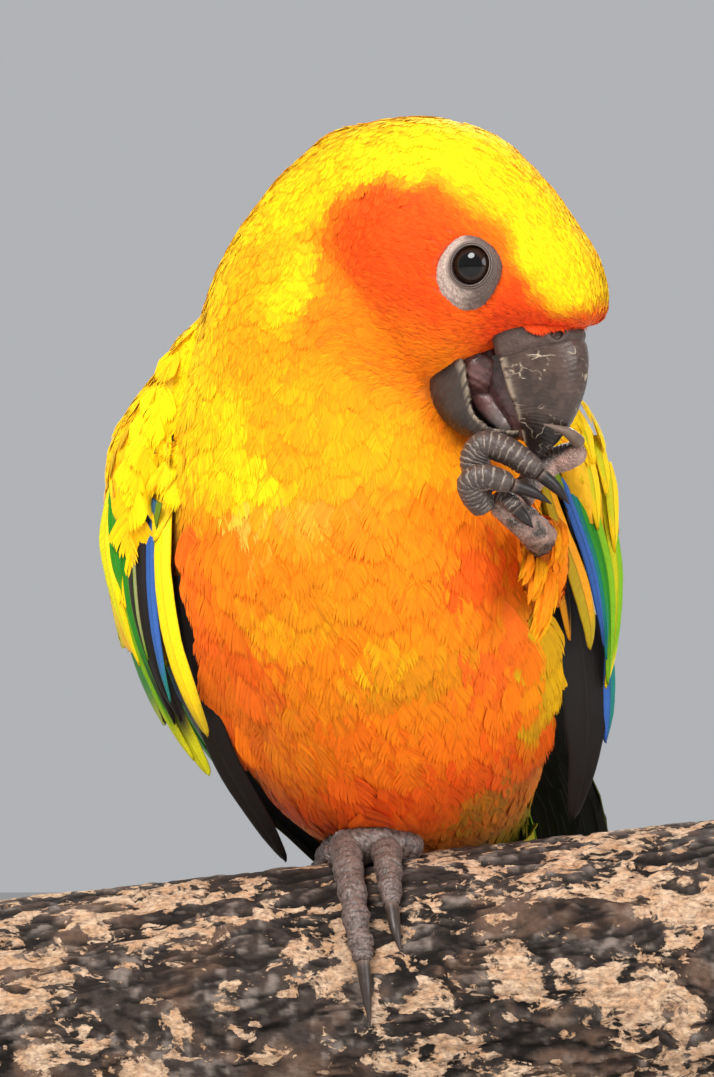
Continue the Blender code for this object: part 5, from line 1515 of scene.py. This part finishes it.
def wingVane(kit, form, start, end, sign, width, lift, tilt, shades, blunt=0.7, endLift=None, least=-400.0, bunch=0.25,
             tipAt=0.8, rows=None):
    # a feather laid over a form; start and end are distance down the body and degrees from the middle of the back
    rows = rows or vaneLook["rows"]
    endLift = lift if endLift is None else endLift
    t = np.linspace(0, 1, rows)
    place = t + bunch * t * (1 - t)
    down = start[0] + (end[0] - start[0]) * place
    around = start[1] + (end[1] - start[1]) * place ** 0.8
    half = 0.5 * width * vaneWidth(place, blunt)
    half = half * (1 - vaneLook["rag"] * kit.rng.random(rows))
    scale = mmPerDegree(form, down, around)
    across = vaneColumns[None, :]
    here = around[:, None] + across * (half / scale)[:, None]
    here = np.maximum(here, least + 1.0 + across)
    up = lift + (endLift - lift) * place
    outer = up[:, None] + tilt * (0.5 + across * (half / width)[:, None]) + 0.3 * (1 - across ** 2)
    outer = outer + vaneLook["shaft"] * np.exp(-(across / 0.05) ** 2)
    outer = outer + 0.05 * kit.rng.normal(0, 1, (rows, len(vaneColumns))) * np.abs(across)
    if form is sleeveStations:  # closer to the body towards the front edge
        outer = np.maximum(outer - 4.6 * ramp(here, 80.0, 108.0), 0.2)
    drawnBack = 0.25 * np.abs(across) * half[:, None] * ramp(t, 0.6, 1.0)[:, None]
    downs = np.broadcast_to(down[:, None], here.shape) - drawnBack
    upper = onForm(form, downs, here, outer + 0.45, sign)
    lower = onForm(form, downs, here, outer + 0.45 - vaneLook["thick"], sign)
    kit.add(upper, lower, vaneColours(rows, shades, kit.rng, tipAt), half, spansOf(upper[:, 6]))


def pathVane(kit, path, halves, facing, shades, tipAt=0.85, blunt=0.5, rows=26, camber=0.3, line=0.6):
    # a feather along a path of places, its upper face turned towards facing
    path = np.asarray(path, float)
    t = np.linspace(0, 1, rows)
    both = smoothRows(np.column_stack((path, halves)), t * (len(path) - 1))
    middle = both[:, :3]
    half = both[:, 3] * np.sqrt(np.maximum(0.004, 1 - np.maximum(0.0, (t - blunt) / (1 - blunt)) ** 2))
    ahead = unitRows(np.gradient(middle, axis=0))
    side = unitRows(np.cross(ahead, np.asarray(facing, float)))
    up = np.cross(side, ahead)
    across = vaneColumns[None, :, None]
    half = half * (1 - vaneLook["rag"] * kit.rng.random(rows))
    high = camber * (1 - across ** 2) + vaneLook["shaft"] * np.exp(-(across / 0.05) ** 2)
    upper = middle[:, None] + side[:, None] * across * half[:, None, None] + up[:, None] * high
    lower = upper - up[:, None] * vaneLook["thick"]
    kit.add(upper, lower, vaneColours(rows, shades, kit.rng, tipAt, line), half, spansOf(middle))


def between(first, second, share):
    return blend(vaneShades[first], vaneShades[second], share)


def makeWing(side, sign):
    shades = vaneShades
    kit = VaneSet(500 + sign)
    for j in range(10):
        leaf = between("yellow", "leaf", 0.15 + 0.45 * kit.rng.random())
        wingVane(kit, sleeveStations, (14.0, 29.0 + 6.3 * j), (35.0 + 0.2 * j, 26.0 + 6.4 * j), sign, 8.0, 6.0, 0.7,
                 (shades["yellow"], leaf, leaf, shades["mustard"], shades["mustard"]))
    for j in range(10):
        s = j / 9
        outer = between("leaf", "green", s)
        inner = between("green", "blue", 0.3 * s)
        tip = between("yellow", "leaf", 0.3 + 0.5 * kit.rng.random())
        wingVane(kit, sleeveStations, (22.0, 31.0 + 6.2 * j), (46.0 + 0.1 * j, 27.0 + 6.1 * j), sign, 8.6, 4.8, 0.75,
                 (outer, inner, tip, shades["dusky"], shades["dark"]), tipAt=0.86)
    for j in range(4):
        outer = (shades["teal"], shades["blue"], shades["green"], shades["blue"])[j]
        wingVane(kit, sleeveStations, (18.0, 88.0 + 4.0 * j), (46.0 - 1.2 * j, 84.0 + 3.4 * j), sign, 5.0, 2.2, 0.5,
                 (outer, shades["navy"], outer, shades["dusky"], shades["dark"]), endLift=2.0)
    kit.finish("wing_coverts_%s_render" % side, ("wing_coverts_" + side,))
    kit = VaneSet(510 + sign)
    for j in range(10):
        k = j * 6 / 9
        s = j / 9
        outer = between("green", "leaf", 0.5 * (1 - s))
        inner = between("olive", "navy", s)
        tip = between("green", "navy", ramp(s, 0.3, 0.9))
        reach = 60.0 + 2.4 * k - 3.0 * max(0.0, k - 4.0)
        wingVane(kit, sleeveStations, (16.0, 27.0 + 11.7 * k), (reach, 12.0 + 11.6 * k), sign, 9.0, 2.4, 0.9,
                 (outer, inner, tip, shades["dusky"], shades["dark"]), endLift=2.4 - 0.35 * k, least=4.0)
    # dark feathers under the front edge, down to the flank, their darkness partly their own colour and partly painted
    # shade for the gap between wing and flank
    for j in range(3):
        wingVane(kit, sleeveStations, (24.0, 97.0 + 4.0 * j), (60.0 - 2.0 * j, 90.0 + 4.5 * j), sign, 7.0, 0.3, 0.3,
                 (shades["dusky"], shades["dark"], shades["dark"], shades["dusky"], shades["dark"]), endLift=0.1)
    kit.finish("wing_secondaries_%s_render" % side, ("wing_secondaries_" + side,))
    kit = VaneSet(520 + sign)
    tips = (96.0, 108.0, 120.0, 131.0, 139.0, 134.0)
    for j in range(10):
        k = j * 5 / 9
        s = j / 9
        tip = float(np.interp(k, range(6), tips))
        outer = between("green", "blue", s) if j < 5 else between("blue", "teal", 0.4)
        if j == 9:
            outer = between("olive", "leaf", 0.3)
        tipShade = between("navy", "dark", 0.4) if j < 9 else between("olive", "dark", 0.6)
        wingVane(kit, sleeveStations, (13.5, 80.0 + 5.8 * k), (tip, 22.0 + 6.5 * k), sign, 6.6, 0.0, 1.0,
                 (outer, shades["dark"], tipShade, shades["dusky"], shades["dark"]), blunt=0.45, endLift=-0.5,
                 least=5.0, bunch=-0.15, tipAt=0.62, rows=34)
    kit.finish("wing_primaries_%s_render" % side, ("wing_primaries_" + side,))


# feathers along each wing's front edge: path, half widths, webs at the front and back, tip, shaft, where the tip starts
edgeFeathers = {
    "right": (
        (((-37.4, -6.6, 58.0), (-38.6, -7.6, 51.0), (-38.2, -8.0, 46.0), (-36.4, -7.8, 38.5), (-33.4, -6.6, 30.0)),
         (0.9, 1.15, 1.15, 1.0, 0.7), "yellow", "lime", "yellow", "mustard", 0.9),
        (((-37.0, -7.4, 58.0), (-37.4, -8.2, 51.5), (-36.9, -8.8, 46.0), (-36.0, -8.6, 41.0)),
         (1.1, 1.35, 1.1, 0.5), "green", "green", "leaf", "leaf", 0.92),
        (((-36.4, -7.6, 47.0), (-35.8, -8.0, 41.6), (-33.9, -7.6, 34.0), (-31.4, -6.2, 27.4), (-28.4, -4.4, 20.7),
          (-25.2, -2.2, 15.4)), (0.8, 1.0, 1.0, 0.95, 0.9, 0.8), "green", "leaf", "lime", "leaf", 0.82),
        (((-35.0, -9.4, 57.0), (-35.2, -10.0, 48.0), (-34.4, -9.8, 39.0), (-31.8, -8.2, 30.0), (-28.0, -5.2, 21.0)),
         (0.9, 1.1, 1.1, 1.0, 0.7), "dusky", "green", "dark", "pale", 0.8),
        (((-34.0, -9.9, 55.0), (-34.2, -10.6, 47.0), (-33.6, -10.4, 38.0), (-32.0, -9.4, 31.0)),
         (0.3, 0.32, 0.3, 0.2), "pale", "leaf", "leaf", "pale", 0.9),
        (((-33.0, -10.4, 57.0), (-33.1, -11.2, 47.0), (-32.3, -10.8, 37.0), (-30.2, -9.2, 28.0), (-27.0, -6.4, 21.5)),
         (0.9, 1.05, 1.05, 0.9, 0.6), "dark", "dark", "dark", "dusky", 0.9),
        (((-31.4, -11.4, 55.0), (-31.6, -12.0, 46.0), (-31.1, -11.8, 37.0), (-29.9, -10.6, 29.5), (-28.6, -9.2, 24.5)),
         (0.75, 0.9, 0.8, 0.6, 0.35), "blue", "blue", "teal", "navy", 0.8),
        (((-29.2, -12.4, 58.0), (-29.6, -13.4, 51.0), (-29.7, -13.6, 44.0), (-28.3, -12.8, 34.0), (-25.4, -10.4, 25.0),
          (-22.9, -8.2, 19.2)), (1.2, 1.4, 1.5, 1.6, 1.65, 1.4), "yellow", "yellow", "mustard", "amber", 0.86),
        (((-27.4, -10.4, 44.0), (-26.4, -9.8, 36.0), (-23.8, -7.0, 25.0), (-20.2, -2.6, 15.0), (-14.4, 3.0, 5.0),
          (-11.0, 6.5, -0.6)), (1.6, 1.9, 2.2, 2.2, 2.0, 1.4), "dark", "dark", "dark", "dusky", 0.9),
        (((-31.0, -6.6, 31.0), (-28.6, -5.2, 24.5), (-25.6, -3.0, 18.0), (-22.8, -1.0, 13.0)),
         (1.1, 1.3, 1.4, 1.2), "dusky", "olive", "lime", "olive", 0.62),
        (((-33.6, -9.8, 62.0), (-34.0, -11.0, 57.6), (-33.7, -11.4, 54.4), (-33.2, -11.4, 52.4)),
         (0.9, 1.0, 0.9, 0.3), "green", "green", "leaf", "leaf", 0.95),
    ),
    "left": (
        (((38.0, -5.0, 57.0), (39.8, -5.8, 47.0), (40.0, -5.8, 40.0), (39.3, -5.0, 32.0), (38.3, -3.8, 26.5)),
         (0.9, 1.1, 1.0, 0.9, 0.6), "lime", "leaf", "yellow", "mustard", 0.84),
        (((34.0, -6.8, 63.0), (35.6, -7.8, 55.0), (38.2, -8.0, 45.0), (38.9, -7.0, 36.0), (38.6, -5.0, 27.0)),
         (1.2, 1.4, 1.3, 1.1, 0.7), "green", "leaf", "leaf", "leaf", 0.85),
        (((32.0, -8.2, 63.0), (33.8, -9.4, 55.4), (36.8, -9.6, 46.0), (38.1, -8.6, 38.0), (38.3, -7.0, 31.0)),
         (0.8, 0.95, 0.9, 0.7, 0.4), "teal", "green", "teal", "teal", 0.8),
        (((30.2, -9.2, 62.0), (32.4, -10.6, 55.4), (35.6, -10.8, 46.0), (37.3, -9.8, 38.0), (37.9, -8.6, 33.0)),
         (0.7, 0.85, 0.85, 0.6, 0.3), "blue", "blue", "blue", "navy", 0.85),
        (((29.0, -11.0, 58.0), (31.4, -12.4, 50.5), (33.9, -12.4, 43.5), (35.5, -11.6, 37.0), (35.7, -10.8, 32.6)),
         (1.1, 1.4, 1.6, 1.4, 0.9), "mustard", "amber", "mustard", "dusky", 0.75),
        (((28.6, -10.6, 53.0), (30.4, -11.2, 46.5), (31.8, -10.8, 40.0), (32.6, -9.8, 34.0)),
         (1.0, 1.2, 1.1, 0.7), "amber", "dusky", "amber", "dusky", 0.9),
        (((30.6, -9.0, 46.0), (33.8, -7.0, 36.0), (35.2, -4.4, 26.0), (35.2, -1.2, 16.0), (33.4, 2.6, 6.0)),
         (2.2, 4.0, 4.2, 3.2, 2.2), "dark", "dark", "dark", "dusky", 0.9),
        (((37.6, -4.2, 38.0), (38.8, -3.2, 30.0), (38.9, -1.6, 23.0), (38.4, 0.4, 18.0)),
         (0.8, 1.1, 1.0, 0.6), "blue", "teal", "blue", "navy", 0.9),
    ),
}
# small yellow feathers over their roots: distance of the tip from the middle plane, its height, length, half width
shoulderTips = {
    "right": ((-37.2, 53.0, 11.0, 2.2), (-34.8, 52.4, 9.5, 1.3), (-31.2, 49.2, 11.5, 1.9), (-38.2, 58.2, 10.0, 2.2),
              (-35.9, 58.8, 10.0, 2.3), (-33.5, 57.6, 10.0, 2.4), (-31.2, 55.8, 10.5, 2.4), (-29.0, 54.0, 10.5, 2.4),
              (-37.0, 63.6, 9.0, 2.3), (-34.8, 63.8, 9.0, 2.4), (-32.4, 63.0, 9.0, 2.4), (-30.0, 61.6, 9.5, 2.4),
              (-27.8, 60.2, 9.5, 2.4), (-35.4, 68.2, 7.5, 2.2), (-33.0, 68.4, 7.5, 2.3), (-30.6, 67.4, 7.5, 2.3)),
    "left": ((37.2, 50.9, 14.0, 1.25), (39.8, 47.4, 14.0, 1.1), (34.8, 58.0, 11.0, 1.3), (38.8, 55.4, 10.0, 1.1),
             (33.0, 62.0, 9.5, 1.5), (36.4, 61.0, 9.0, 1.4), (38.0, 62.5, 8.0, 1.3), (34.6, 66.2, 8.0, 1.7),
             (31.8, 66.4, 8.0, 1.7), (36.2, 67.4, 7.0, 1.6)),
}
# below the first height they are smooth, and from the second on they are fans of barbs
shoulderChange = {"right": (53.5, 53.5), "left": (62.0, 60.0)}
# the wings' outline as the camera side shows it: height and distance from the middle plane
shoulderEdge = ((44.0, 39.2), (52.0, 39.0), (58.3, 38.5), (65.9, 37.0), (70.4, 35.2), (74.9, 31.4), (78.7, 27.1))


def makeEdgeFeathers(side, sign):
    kit = VaneSet(560 + sign)
    for path, halves, front, back, tip, shaft, tipAt in edgeFeathers[side]:
        shades = tuple(vaneShades[name] for name in ((back, front) if sign < 0 else (front, back)))
        facing = (0.45 * sign, -0.9, 0.1)
        pathVane(kit, path, halves, facing, (*shades, vaneShades[tip], vaneShades[shaft], vaneShades["dusky"]), tipAt)
    heights, edge = np.array(shoulderEdge).T

    def shoulderSpine(x, z, long, lifts, jitter=0.0):
        # places from a small feather's root to its tip, inside the wing's outline
        inward = np.interp(z, heights, edge) - abs(x)
        spine = []
        for share, lift in zip(np.linspace(0, 1, len(lifts)), lifts):
            high = z + long * (1 - share) + jitter * rng.normal(0, 0.2)
            across = np.interp(high, heights, edge) - inward * (1 + 0.3 * (1 - share)) - 0.2
            y = -5.4 - 8.0 * (np.clip(inward, 0.0, 9.0) / 9.0) ** 0.75 + 0.32 * max(0.0, high - 64.0)
            spine.append((sign * across + jitter * rng.normal(0, 0.15), y - lift, high))
        return spine, inward

    rng = np.random.default_rng(580 + sign)
    smoothBelow, fansFrom = shoulderChange[side]
    names = ("lime" if side == "left" else "yellow", "yellow", "yellow", "mustard", "dusky")
    for x, z, long, half in shoulderTips[side]:
        if z < smoothBelow:
            spine, _ = shoulderSpine(x, z, long, (-0.6, 0.3, 0.6, 0.7, 0.7))
            pathVane(kit, spine, np.array((0.7, 1.0, 1.0, 0.85, 0.5)) * half, (0.5 * sign, -0.86, 0.1),
                     [vaneShades[name] for name in names], 0.7, 0.4)
    kit.finish("wing_edge_%s_render" % side)
    spines, outward, shades = [], [], []
    for x, z, long, _ in shoulderTips[side]:
        for _ in range(0 if z < fansFrom else 2):
            spine, inward = shoulderSpine(x, z, long, (-1.8, 0.3, 0.6), 1.0)
            out = float(np.interp(inward, (0.0, 8.0), (0.9, 0.35)))
            spines.append(spine)
            outward.append((sign * out, -math.sqrt(1 - out ** 2), 0.1))
            shades.append(blend(plumeLook["yellow"], vaneShades["lime"], 0.3 * rng.random()) * rng.uniform(0.96, 1.08))
    kind = dict(coatKinds["arm"], lift=0.2, seed=585 + sign, width=0.40 if side == "right" else 0.24)
    spineCoat("coat_shoulder_" + side, kind, spines, unitRows(np.array(outward)), np.array(shades),
              0.8)


def onTail(down, across, lift):
    # places over the tail: distance down the body, distance to the side, height over its middle
    here, side, front, _ = section(bodyStations, down)
    shape = np.shape(across)
    flat = np.asarray(across).reshape(-1, 1)
    points = here[:, :3] + side * flat - front * (np.asarray(lift).reshape(-1, 1) - 0.016 * flat ** 2)
    return points.reshape(shape + (3,))


def makeTail():
    shades = vaneShades
    kit = VaneSet(530)
    rows = 40
    for pair in range(6):
        for sign in (-1, 1):
            length = 138.0 * (1.0, 0.93, 0.83, 0.73, 0.63, 0.53)[pair]
            drop = -0.5 * pair - (0.25 if sign < 0 else 0.0)
            t = 1 - (1 - np.linspace(0, 1, rows)) ** 1.2
            half = (5.0 if pair == 0 else 3.6) * vaneWidth(t, 0.35) * (1 - vaneLook["rag"] * kit.rng.random(rows))
            middle = (2.0 + 0.9 * pair) * (1 - t) + (3.4 + 2.2 * pair) * t ** 0.7 * (1 - 0.35 * t)
            across = vaneColumns[None, :]
            where = sign * np.maximum(middle[:, None] + across * half[:, None], -1.5 + 0.2 * across)
            up = 2.6 + drop - 0.15 * across ** 2 + vaneLook["shaft"] * np.exp(-(across / 0.05) ** 2) + 0 * where
            downs = np.broadcast_to((tailStart + 0.3 + length * t)[:, None], where.shape)
            upper, lower = onTail(downs, where, up), onTail(downs, where, up - 0.3)
            tailShades = (between("olive", "green", 0.5), shades["olive"], between("navy", "blue", 0.5),
                          shades["dusky"], shades["dark"])
            kit.add(upper, lower, vaneColours(rows, tailShades, kit.rng, 0.78), half, length * t)
    kit.finish("tail_feathers_render", ("tail_feathers",))
    kit = VaneSet(540)
    coverShades = (between("leaf", "olive", 0.4), between("leaf", "mustard", 0.5), between("green", "olive", 0.5),
                   shades["mustard"], shades["olive"])
    rings = ((-14.0, 24.0, 7, 8.5), (-8.0, 34.0, 6, 8.0), (-2.0, 42.0, 4, 8.0))  # start, length, count, width
    for ring, (down, long, count, width) in enumerate(rings):
        for j in range(count):
            around = (j / (count - 1) - 0.5) * (110.0 - 24.0 * ring)
            wingVane(kit, bodyStations, (tailStart + down, around), (tailStart + down + long, around * 0.78), 1, width,
                     1.2 - 0.5 * ring, 0.5, coverShades, endLift=0.6 - 0.4 * ring)
    kit.finish("tail_coverts_upper_render", ("tail_coverts_upper",))
    kit = VaneSet(550)
    underShades = (shades["mustard"], between("mustard", "leaf", 0.3), between("mustard", "olive", 0.5),
                   shades["olive"], shades["olive"])
    rings = ((-12.0, 26.0, 6, 8.5), (-7.0, 36.0, 5, 8.0), (-2.0, 48.0, 3, 8.0))
    for ring, (down, long, count, width) in enumerate(rings):
        for j in range(count):
            off = (j / (count - 1) - 0.5) * (100.0 - 22.0 * ring)
            wingVane(kit, bodyStations, (tailStart + down, 180.0 + off), (tailStart + down + long, 180.0 + off * 0.7),
                     1, width, 1.4 - 0.4 * ring, 0.5, underShades, endLift=1.2 - 0.3 * ring)
    kit.finish("tail_coverts_under_render", ("tail_coverts_under",))


for side, sign in bothSides:
    makeWing(side, sign)
    makeEdgeFeathers(side, sign)
makeTail()
print("wings and tail made")


# perch

# deep is the fissures' dark bark together with painted shade
perchLook = {"bark": tint(62, 52, 47), "deep": tint(22, 18, 16), "grey": tint(122, 110, 102), "mid": tint(120, 92, 74),
             "flake": tint(204, 160, 122), "flakePale": tint(226, 196, 166), "wood": tint(186, 150, 112), "relief": 1.0,
             "length": 140.0, "rows": 262, "columns": 310, "endRings": 28, "rings": 1.5}


def barkMaterial():
    # the bark's own colour from the mesh, with pale flaked patches and a fine grain laid over it
    look = perchLook
    made = surface("barkPaint", 0.85, 0.3, 900.0, Specular_IOR_Level=0.2)
    tree = made.node_tree
    shader = tree.nodes["Principled BSDF"]
    under = shader.inputs["Base Color"].links[0].from_socket
    where = next(node for node in tree.nodes if node.type == "TEX_COORD").outputs["Object"]
    stretch = addNode(tree, "Mapping", {"Vector": where, "Scale": (0.62, 1.0, 1.0)})[0]

    def noise(scale, detail, roughness, low, high, distortion=0.0):
        cloud = addNode(tree, "TexNoise", {"Vector": stretch, "Scale": scale, "Detail": detail, "Roughness": roughness,
                                           "Distortion": distortion})[0]
        return addNode(tree, "MapRange", {"Value": cloud, "From Min": low, "From Max": high},
                       interpolation_type="SMOOTHSTEP")["Result"]

    def join(operation, first, second):
        return addNode(tree, "Math", {0: first, 1: second}, operation=operation)[0]

    def colourMix(share, first, second):
        first, second = ((*value, 1.0) if isinstance(value, np.ndarray) else value for value in (first, second))
        return addNode(tree, "Mix", {"Factor": share, 6: first, 7: second}, data_type="RGBA")[2]

    large = noise(95.0, 10.0, 0.64, 0.520, 0.534, 0.3)
    small = noise(330.0, 8.0, 0.60, 0.585, 0.600, 0.5)
    patch = join("MAXIMUM", large, small)
    crack = noise(300.0, 7.0, 0.60, 0.42, 0.46, 0.8)
    patch = join("MULTIPLY", patch, crack)
    flake = colourMix(noise(420.0, 8.0, 0.7, 0.35, 0.65), look["flake"], look["flakePale"])
    flake = colourMix(noise(1500.0, 5.0, 0.7, 0.35, 0.75), flake, look["mid"])
    tree.links.new(colourMix(patch, under, flake), shader.inputs["Base Color"])
    grain = noise(1600.0, 8.0, 0.7, 0.2, 0.8)
    height = join("ADD", join("MULTIPLY", patch, patch), grain)
    relief = addNode(tree, "Bump", {"Strength": 0.7, "Distance": 0.0005, "Height": height})
    tree.links.new(relief["Normal"], shader.inputs["Normal"])
    return made


def makePerch():
    look = perchLook
    xs = np.linspace(-0.5 * look["length"], 0.5 * look["length"], look["rows"])
    even = np.linspace(0, 1, look["columns"], endpoint=False)
    turn = fullTurn * even - 0.55 * np.sin(fullTurn * (even - 0.25)) - 0.55  # denser on the camera's side
    x, a = np.meshgrid(xs, turn, indexing="ij")
    uneven = 0.5 * np.sin(2 * a + 0.02 * x) + 0.45 * np.sin(3 * a + 0.05 * x + 1.0)
    uneven = uneven + 0.35 * np.sin(5 * a + 0.09 * x)
    radius = perchRadius + uneven * (0.5 - 0.5 * np.cos(a))
    ring = np.stack((x, -perchRadius * np.sin(a), perchRadius * np.cos(a)), -1)
    stretched = ring * np.array((0.36, 1.0, 1.0))
    warp = (fractal(ring, 14.0, 600, 3) - 0.5)[..., None] * 7.0
    ridge = 1 - np.abs(2 * fractal(stretched + warp, 2.4, 601, 4) - 1)
    coarse = 1 - np.abs(2 * fractal(stretched + warp, 8.0, 605, 3) - 1)
    fine = fractal(ring, 1.6, 610, 4)
    fissure = ramp(ridge, 0.80, 0.97) * 0.7 + ramp(coarse, 0.86, 0.98) * 0.6
    plates = fractal(ring * np.array((0.5, 1.0, 1.0)), 3.0, 640, 3)
    relief = look["relief"] * (0.55 * (plates - 0.5) + 0.45 * (fine - 0.5) - 0.75 * fissure)
    underFoot = np.exp(-((x - 2.0) / 8.0) ** 2) * ramp(np.cos(a), 0.0, 0.6)
    relief = relief * (1 - 0.75 * underFoot) - 0.25 * underFoot
    radius = radius + relief - 0.1
    rise = x * math.tan(math.radians(perchRise))
    rings = np.stack((x, -radius * np.sin(a), rise - perchRadius + radius * np.cos(a)), -1)
    colour = blend(look["bark"], look["grey"], ramp(fine + 0.4 * (plates - 0.5), 0.5, 0.72))
    colour = blend(colour, look["mid"], 0.5 * ramp(fractal(ring, 7.0, 650, 3), 0.48, 0.66))
    # near black in the fissures: darker bark, with painted shade in them
    colour = blend(colour, look["deep"], np.clip(fissure * 1.1, 0, 0.95))
    ends, endColours = [], []
    for step, edge in ((1, rings[0]), (-1, rings[-1])):  # the cut ends, with rings and a few cracks
        middle = edge.mean(0)
        inner = np.array([middle + (edge - middle) * s for s in np.linspace(0.04, 0.97, look["endRings"])])
        reach = np.linalg.norm(inner - middle, axis=-1)
        grain = np.sin((reach + 1.2 * fractal(inner, 9.0, 660, 2)) * fullTurn / look["rings"])
        crack = np.abs(np.sin(turn[None, :] * 2.5 + 0.6 * fractal(inner, 6.0, 661, 2) * 4))
        crack = (1 - ramp(crack, 0.01, 0.06)) * ramp(reach, 4.0, 12.0)
        inner = inner + np.array((1.0, 0, 0)) * ((0.10 * grain - 0.5 * crack) * -step)[..., None]
        # the cracks half as bright: painted shade in them
        shade = look["wood"] * (0.8 + 0.14 * grain - 0.5 * crack)[..., None]
        ends.append(inner[::step])
        endColours.append(shade[::step])
    points, faces = closedLoft(np.concatenate((ends[0], rings, ends[1])))
    shades = np.concatenate((endColours[0], colour, endColours[1])).reshape(-1, 3)
    shades = np.concatenate((shades, [look["wood"]], [look["wood"]]))
    addPiece("perch_render", points, faces, shades, barkMaterial(), ("perch",))


makePerch()
print("perch made")


# stand

standLook = {"wood": tint(74, 52, 38), "metal": tint(150, 146, 140), "radius": 79.0, "thick": 12.0, "rod": 3.5,
             "rodsAt": 40.0}


def turnedPiece(name, radius, low, high, x, y, bevel, segments):
    # an upright cylinder with softened edges
    bpy.ops.object.select_all(action="DESELECT")
    bpy.ops.mesh.primitive_cylinder_add(vertices=segments, radius=radius * mm, depth=(high - low) * mm,
                                        location=(x * mm, y * mm, (low + high) / 2 * mm))
    piece = bpy.context.object
    piece.name = name
    bpy.ops.object.transform_apply(location=True, rotation=True, scale=True)
    soften = piece.modifiers.new("Soften", "BEVEL")
    soften.width = bevel * mm
    soften.segments = 4
    soften.limit_method = "ANGLE"
    bpy.ops.object.modifier_apply(modifier="Soften")
    bpy.ops.object.shade_smooth_by_angle(angle=math.radians(40))
    return piece


def makeStand():
    look = standLook
    base = turnedPiece("stand_base_render", look["radius"] - 0.1, 0.0, look["thick"], 0.0, 0.0, 1.6, 128)
    points = pointsOf(base.data) + birdPlace
    grain = fractal(points * np.array((0.12, 1.0, 1.0)), 3.0, 700, 3)
    paintMesh(base.data, look["wood"] * (0.7 + 0.6 * grain)[:, None])
    keepPiece(base, woodMaterial, ("stand_base",))
    for side, sign in bothSides:
        x = sign * look["rodsAt"]
        topEnd = birdPlace[2] + x * math.tan(math.radians(perchRise)) - 2 * perchRadius + 5.0
        rod = turnedPiece("stand_rod_%s_render" % side, look["rod"], look["thick"] - 6.0, topEnd, x, birdPlace[1],
                          0.4, 64)
        paintMesh(rod.data, look["metal"])
        keepPiece(rod, metalMaterial, ("stand_rod_" + side,))


woodMaterial = surface("standWood", 0.4, 0.25, 60.0, 0.2, 300.0, Coat_Weight=0.2)
metalMaterial = surface("rodMetal", 0.32, 0.06, 400.0, 0.1, 900.0, Metallic=1.0)
makeStand()
print("stand made")


# floor, lights and camera

def makeStage():
    bpy.ops.object.select_all(action="DESELECT")
    bpy.ops.mesh.primitive_plane_add(size=6.0, location=(0, 0, 0))
    floor = bpy.context.object
    floor.name = "floor"
    paintMesh(floor.data, (0.62, 0.61, 0.60))
    floor.data.materials.append(surface("floorPaint", 0.9, 0.02, 3.0))


def addLight(name, place, goal, size, power, colour):
    data = bpy.data.lights.new(name, "AREA")
    data.shape = "DISK"
    data.size = size
    data.energy = power
    data.color = colour
    light = bpy.data.objects.new(name, data)
    bpy.context.scene.collection.objects.link(light)
    light.location = place
    light.rotation_euler = (Vector(goal) - Vector(place)).to_track_quat("-Z", "Y").to_euler()


makeStage()
# lights: place, size, power and colour, all turned to one goal
lightLook = {
    "key": ((-0.35, -0.75, 0.95), 0.55, 16.0, (1.0, 0.98, 0.95)),
    "fill": ((0.8, -0.7, 0.45), 0.7, 7.0, (0.95, 0.98, 1.0)),
    "rim": ((0.25, 0.9, 0.8), 0.5, 9.0, (1.0, 1.0, 1.0)),
}
for name, (place, size, power, colour) in lightLook.items():
    addLight(name, place, (0.0, -0.03, 0.2), size, power, colour)
world = bpy.data.worlds.new("studio")
world.use_nodes = True
background = world.node_tree.nodes["Background"].inputs
background["Color"].default_value = (0.80, 0.82, 0.85, 1.0)
background["Strength"].default_value = 0.55
bpy.context.scene.world = world
bpy.context.scene.view_settings.view_transform = "Standard"

cameraLook = {"place": (0.0, -1.242, 0.1896), "film": 36.0, "lens": 264.7}  # metres, then millimetres
camera = bpy.data.objects.new("camera", bpy.data.cameras.new("camera"))
bpy.context.scene.collection.objects.link(camera)
camera.location = cameraLook["place"]
camera.rotation_euler = (math.radians(90), 0, 0)
camera.data.sensor_fit = "VERTICAL"
camera.data.sensor_height = cameraLook["film"]
camera.data.lens = cameraLook["lens"]
camera.data.clip_end = 20.0
bpy.context.scene.camera = camera
print("stage made")

print("pieces:", len(shown))
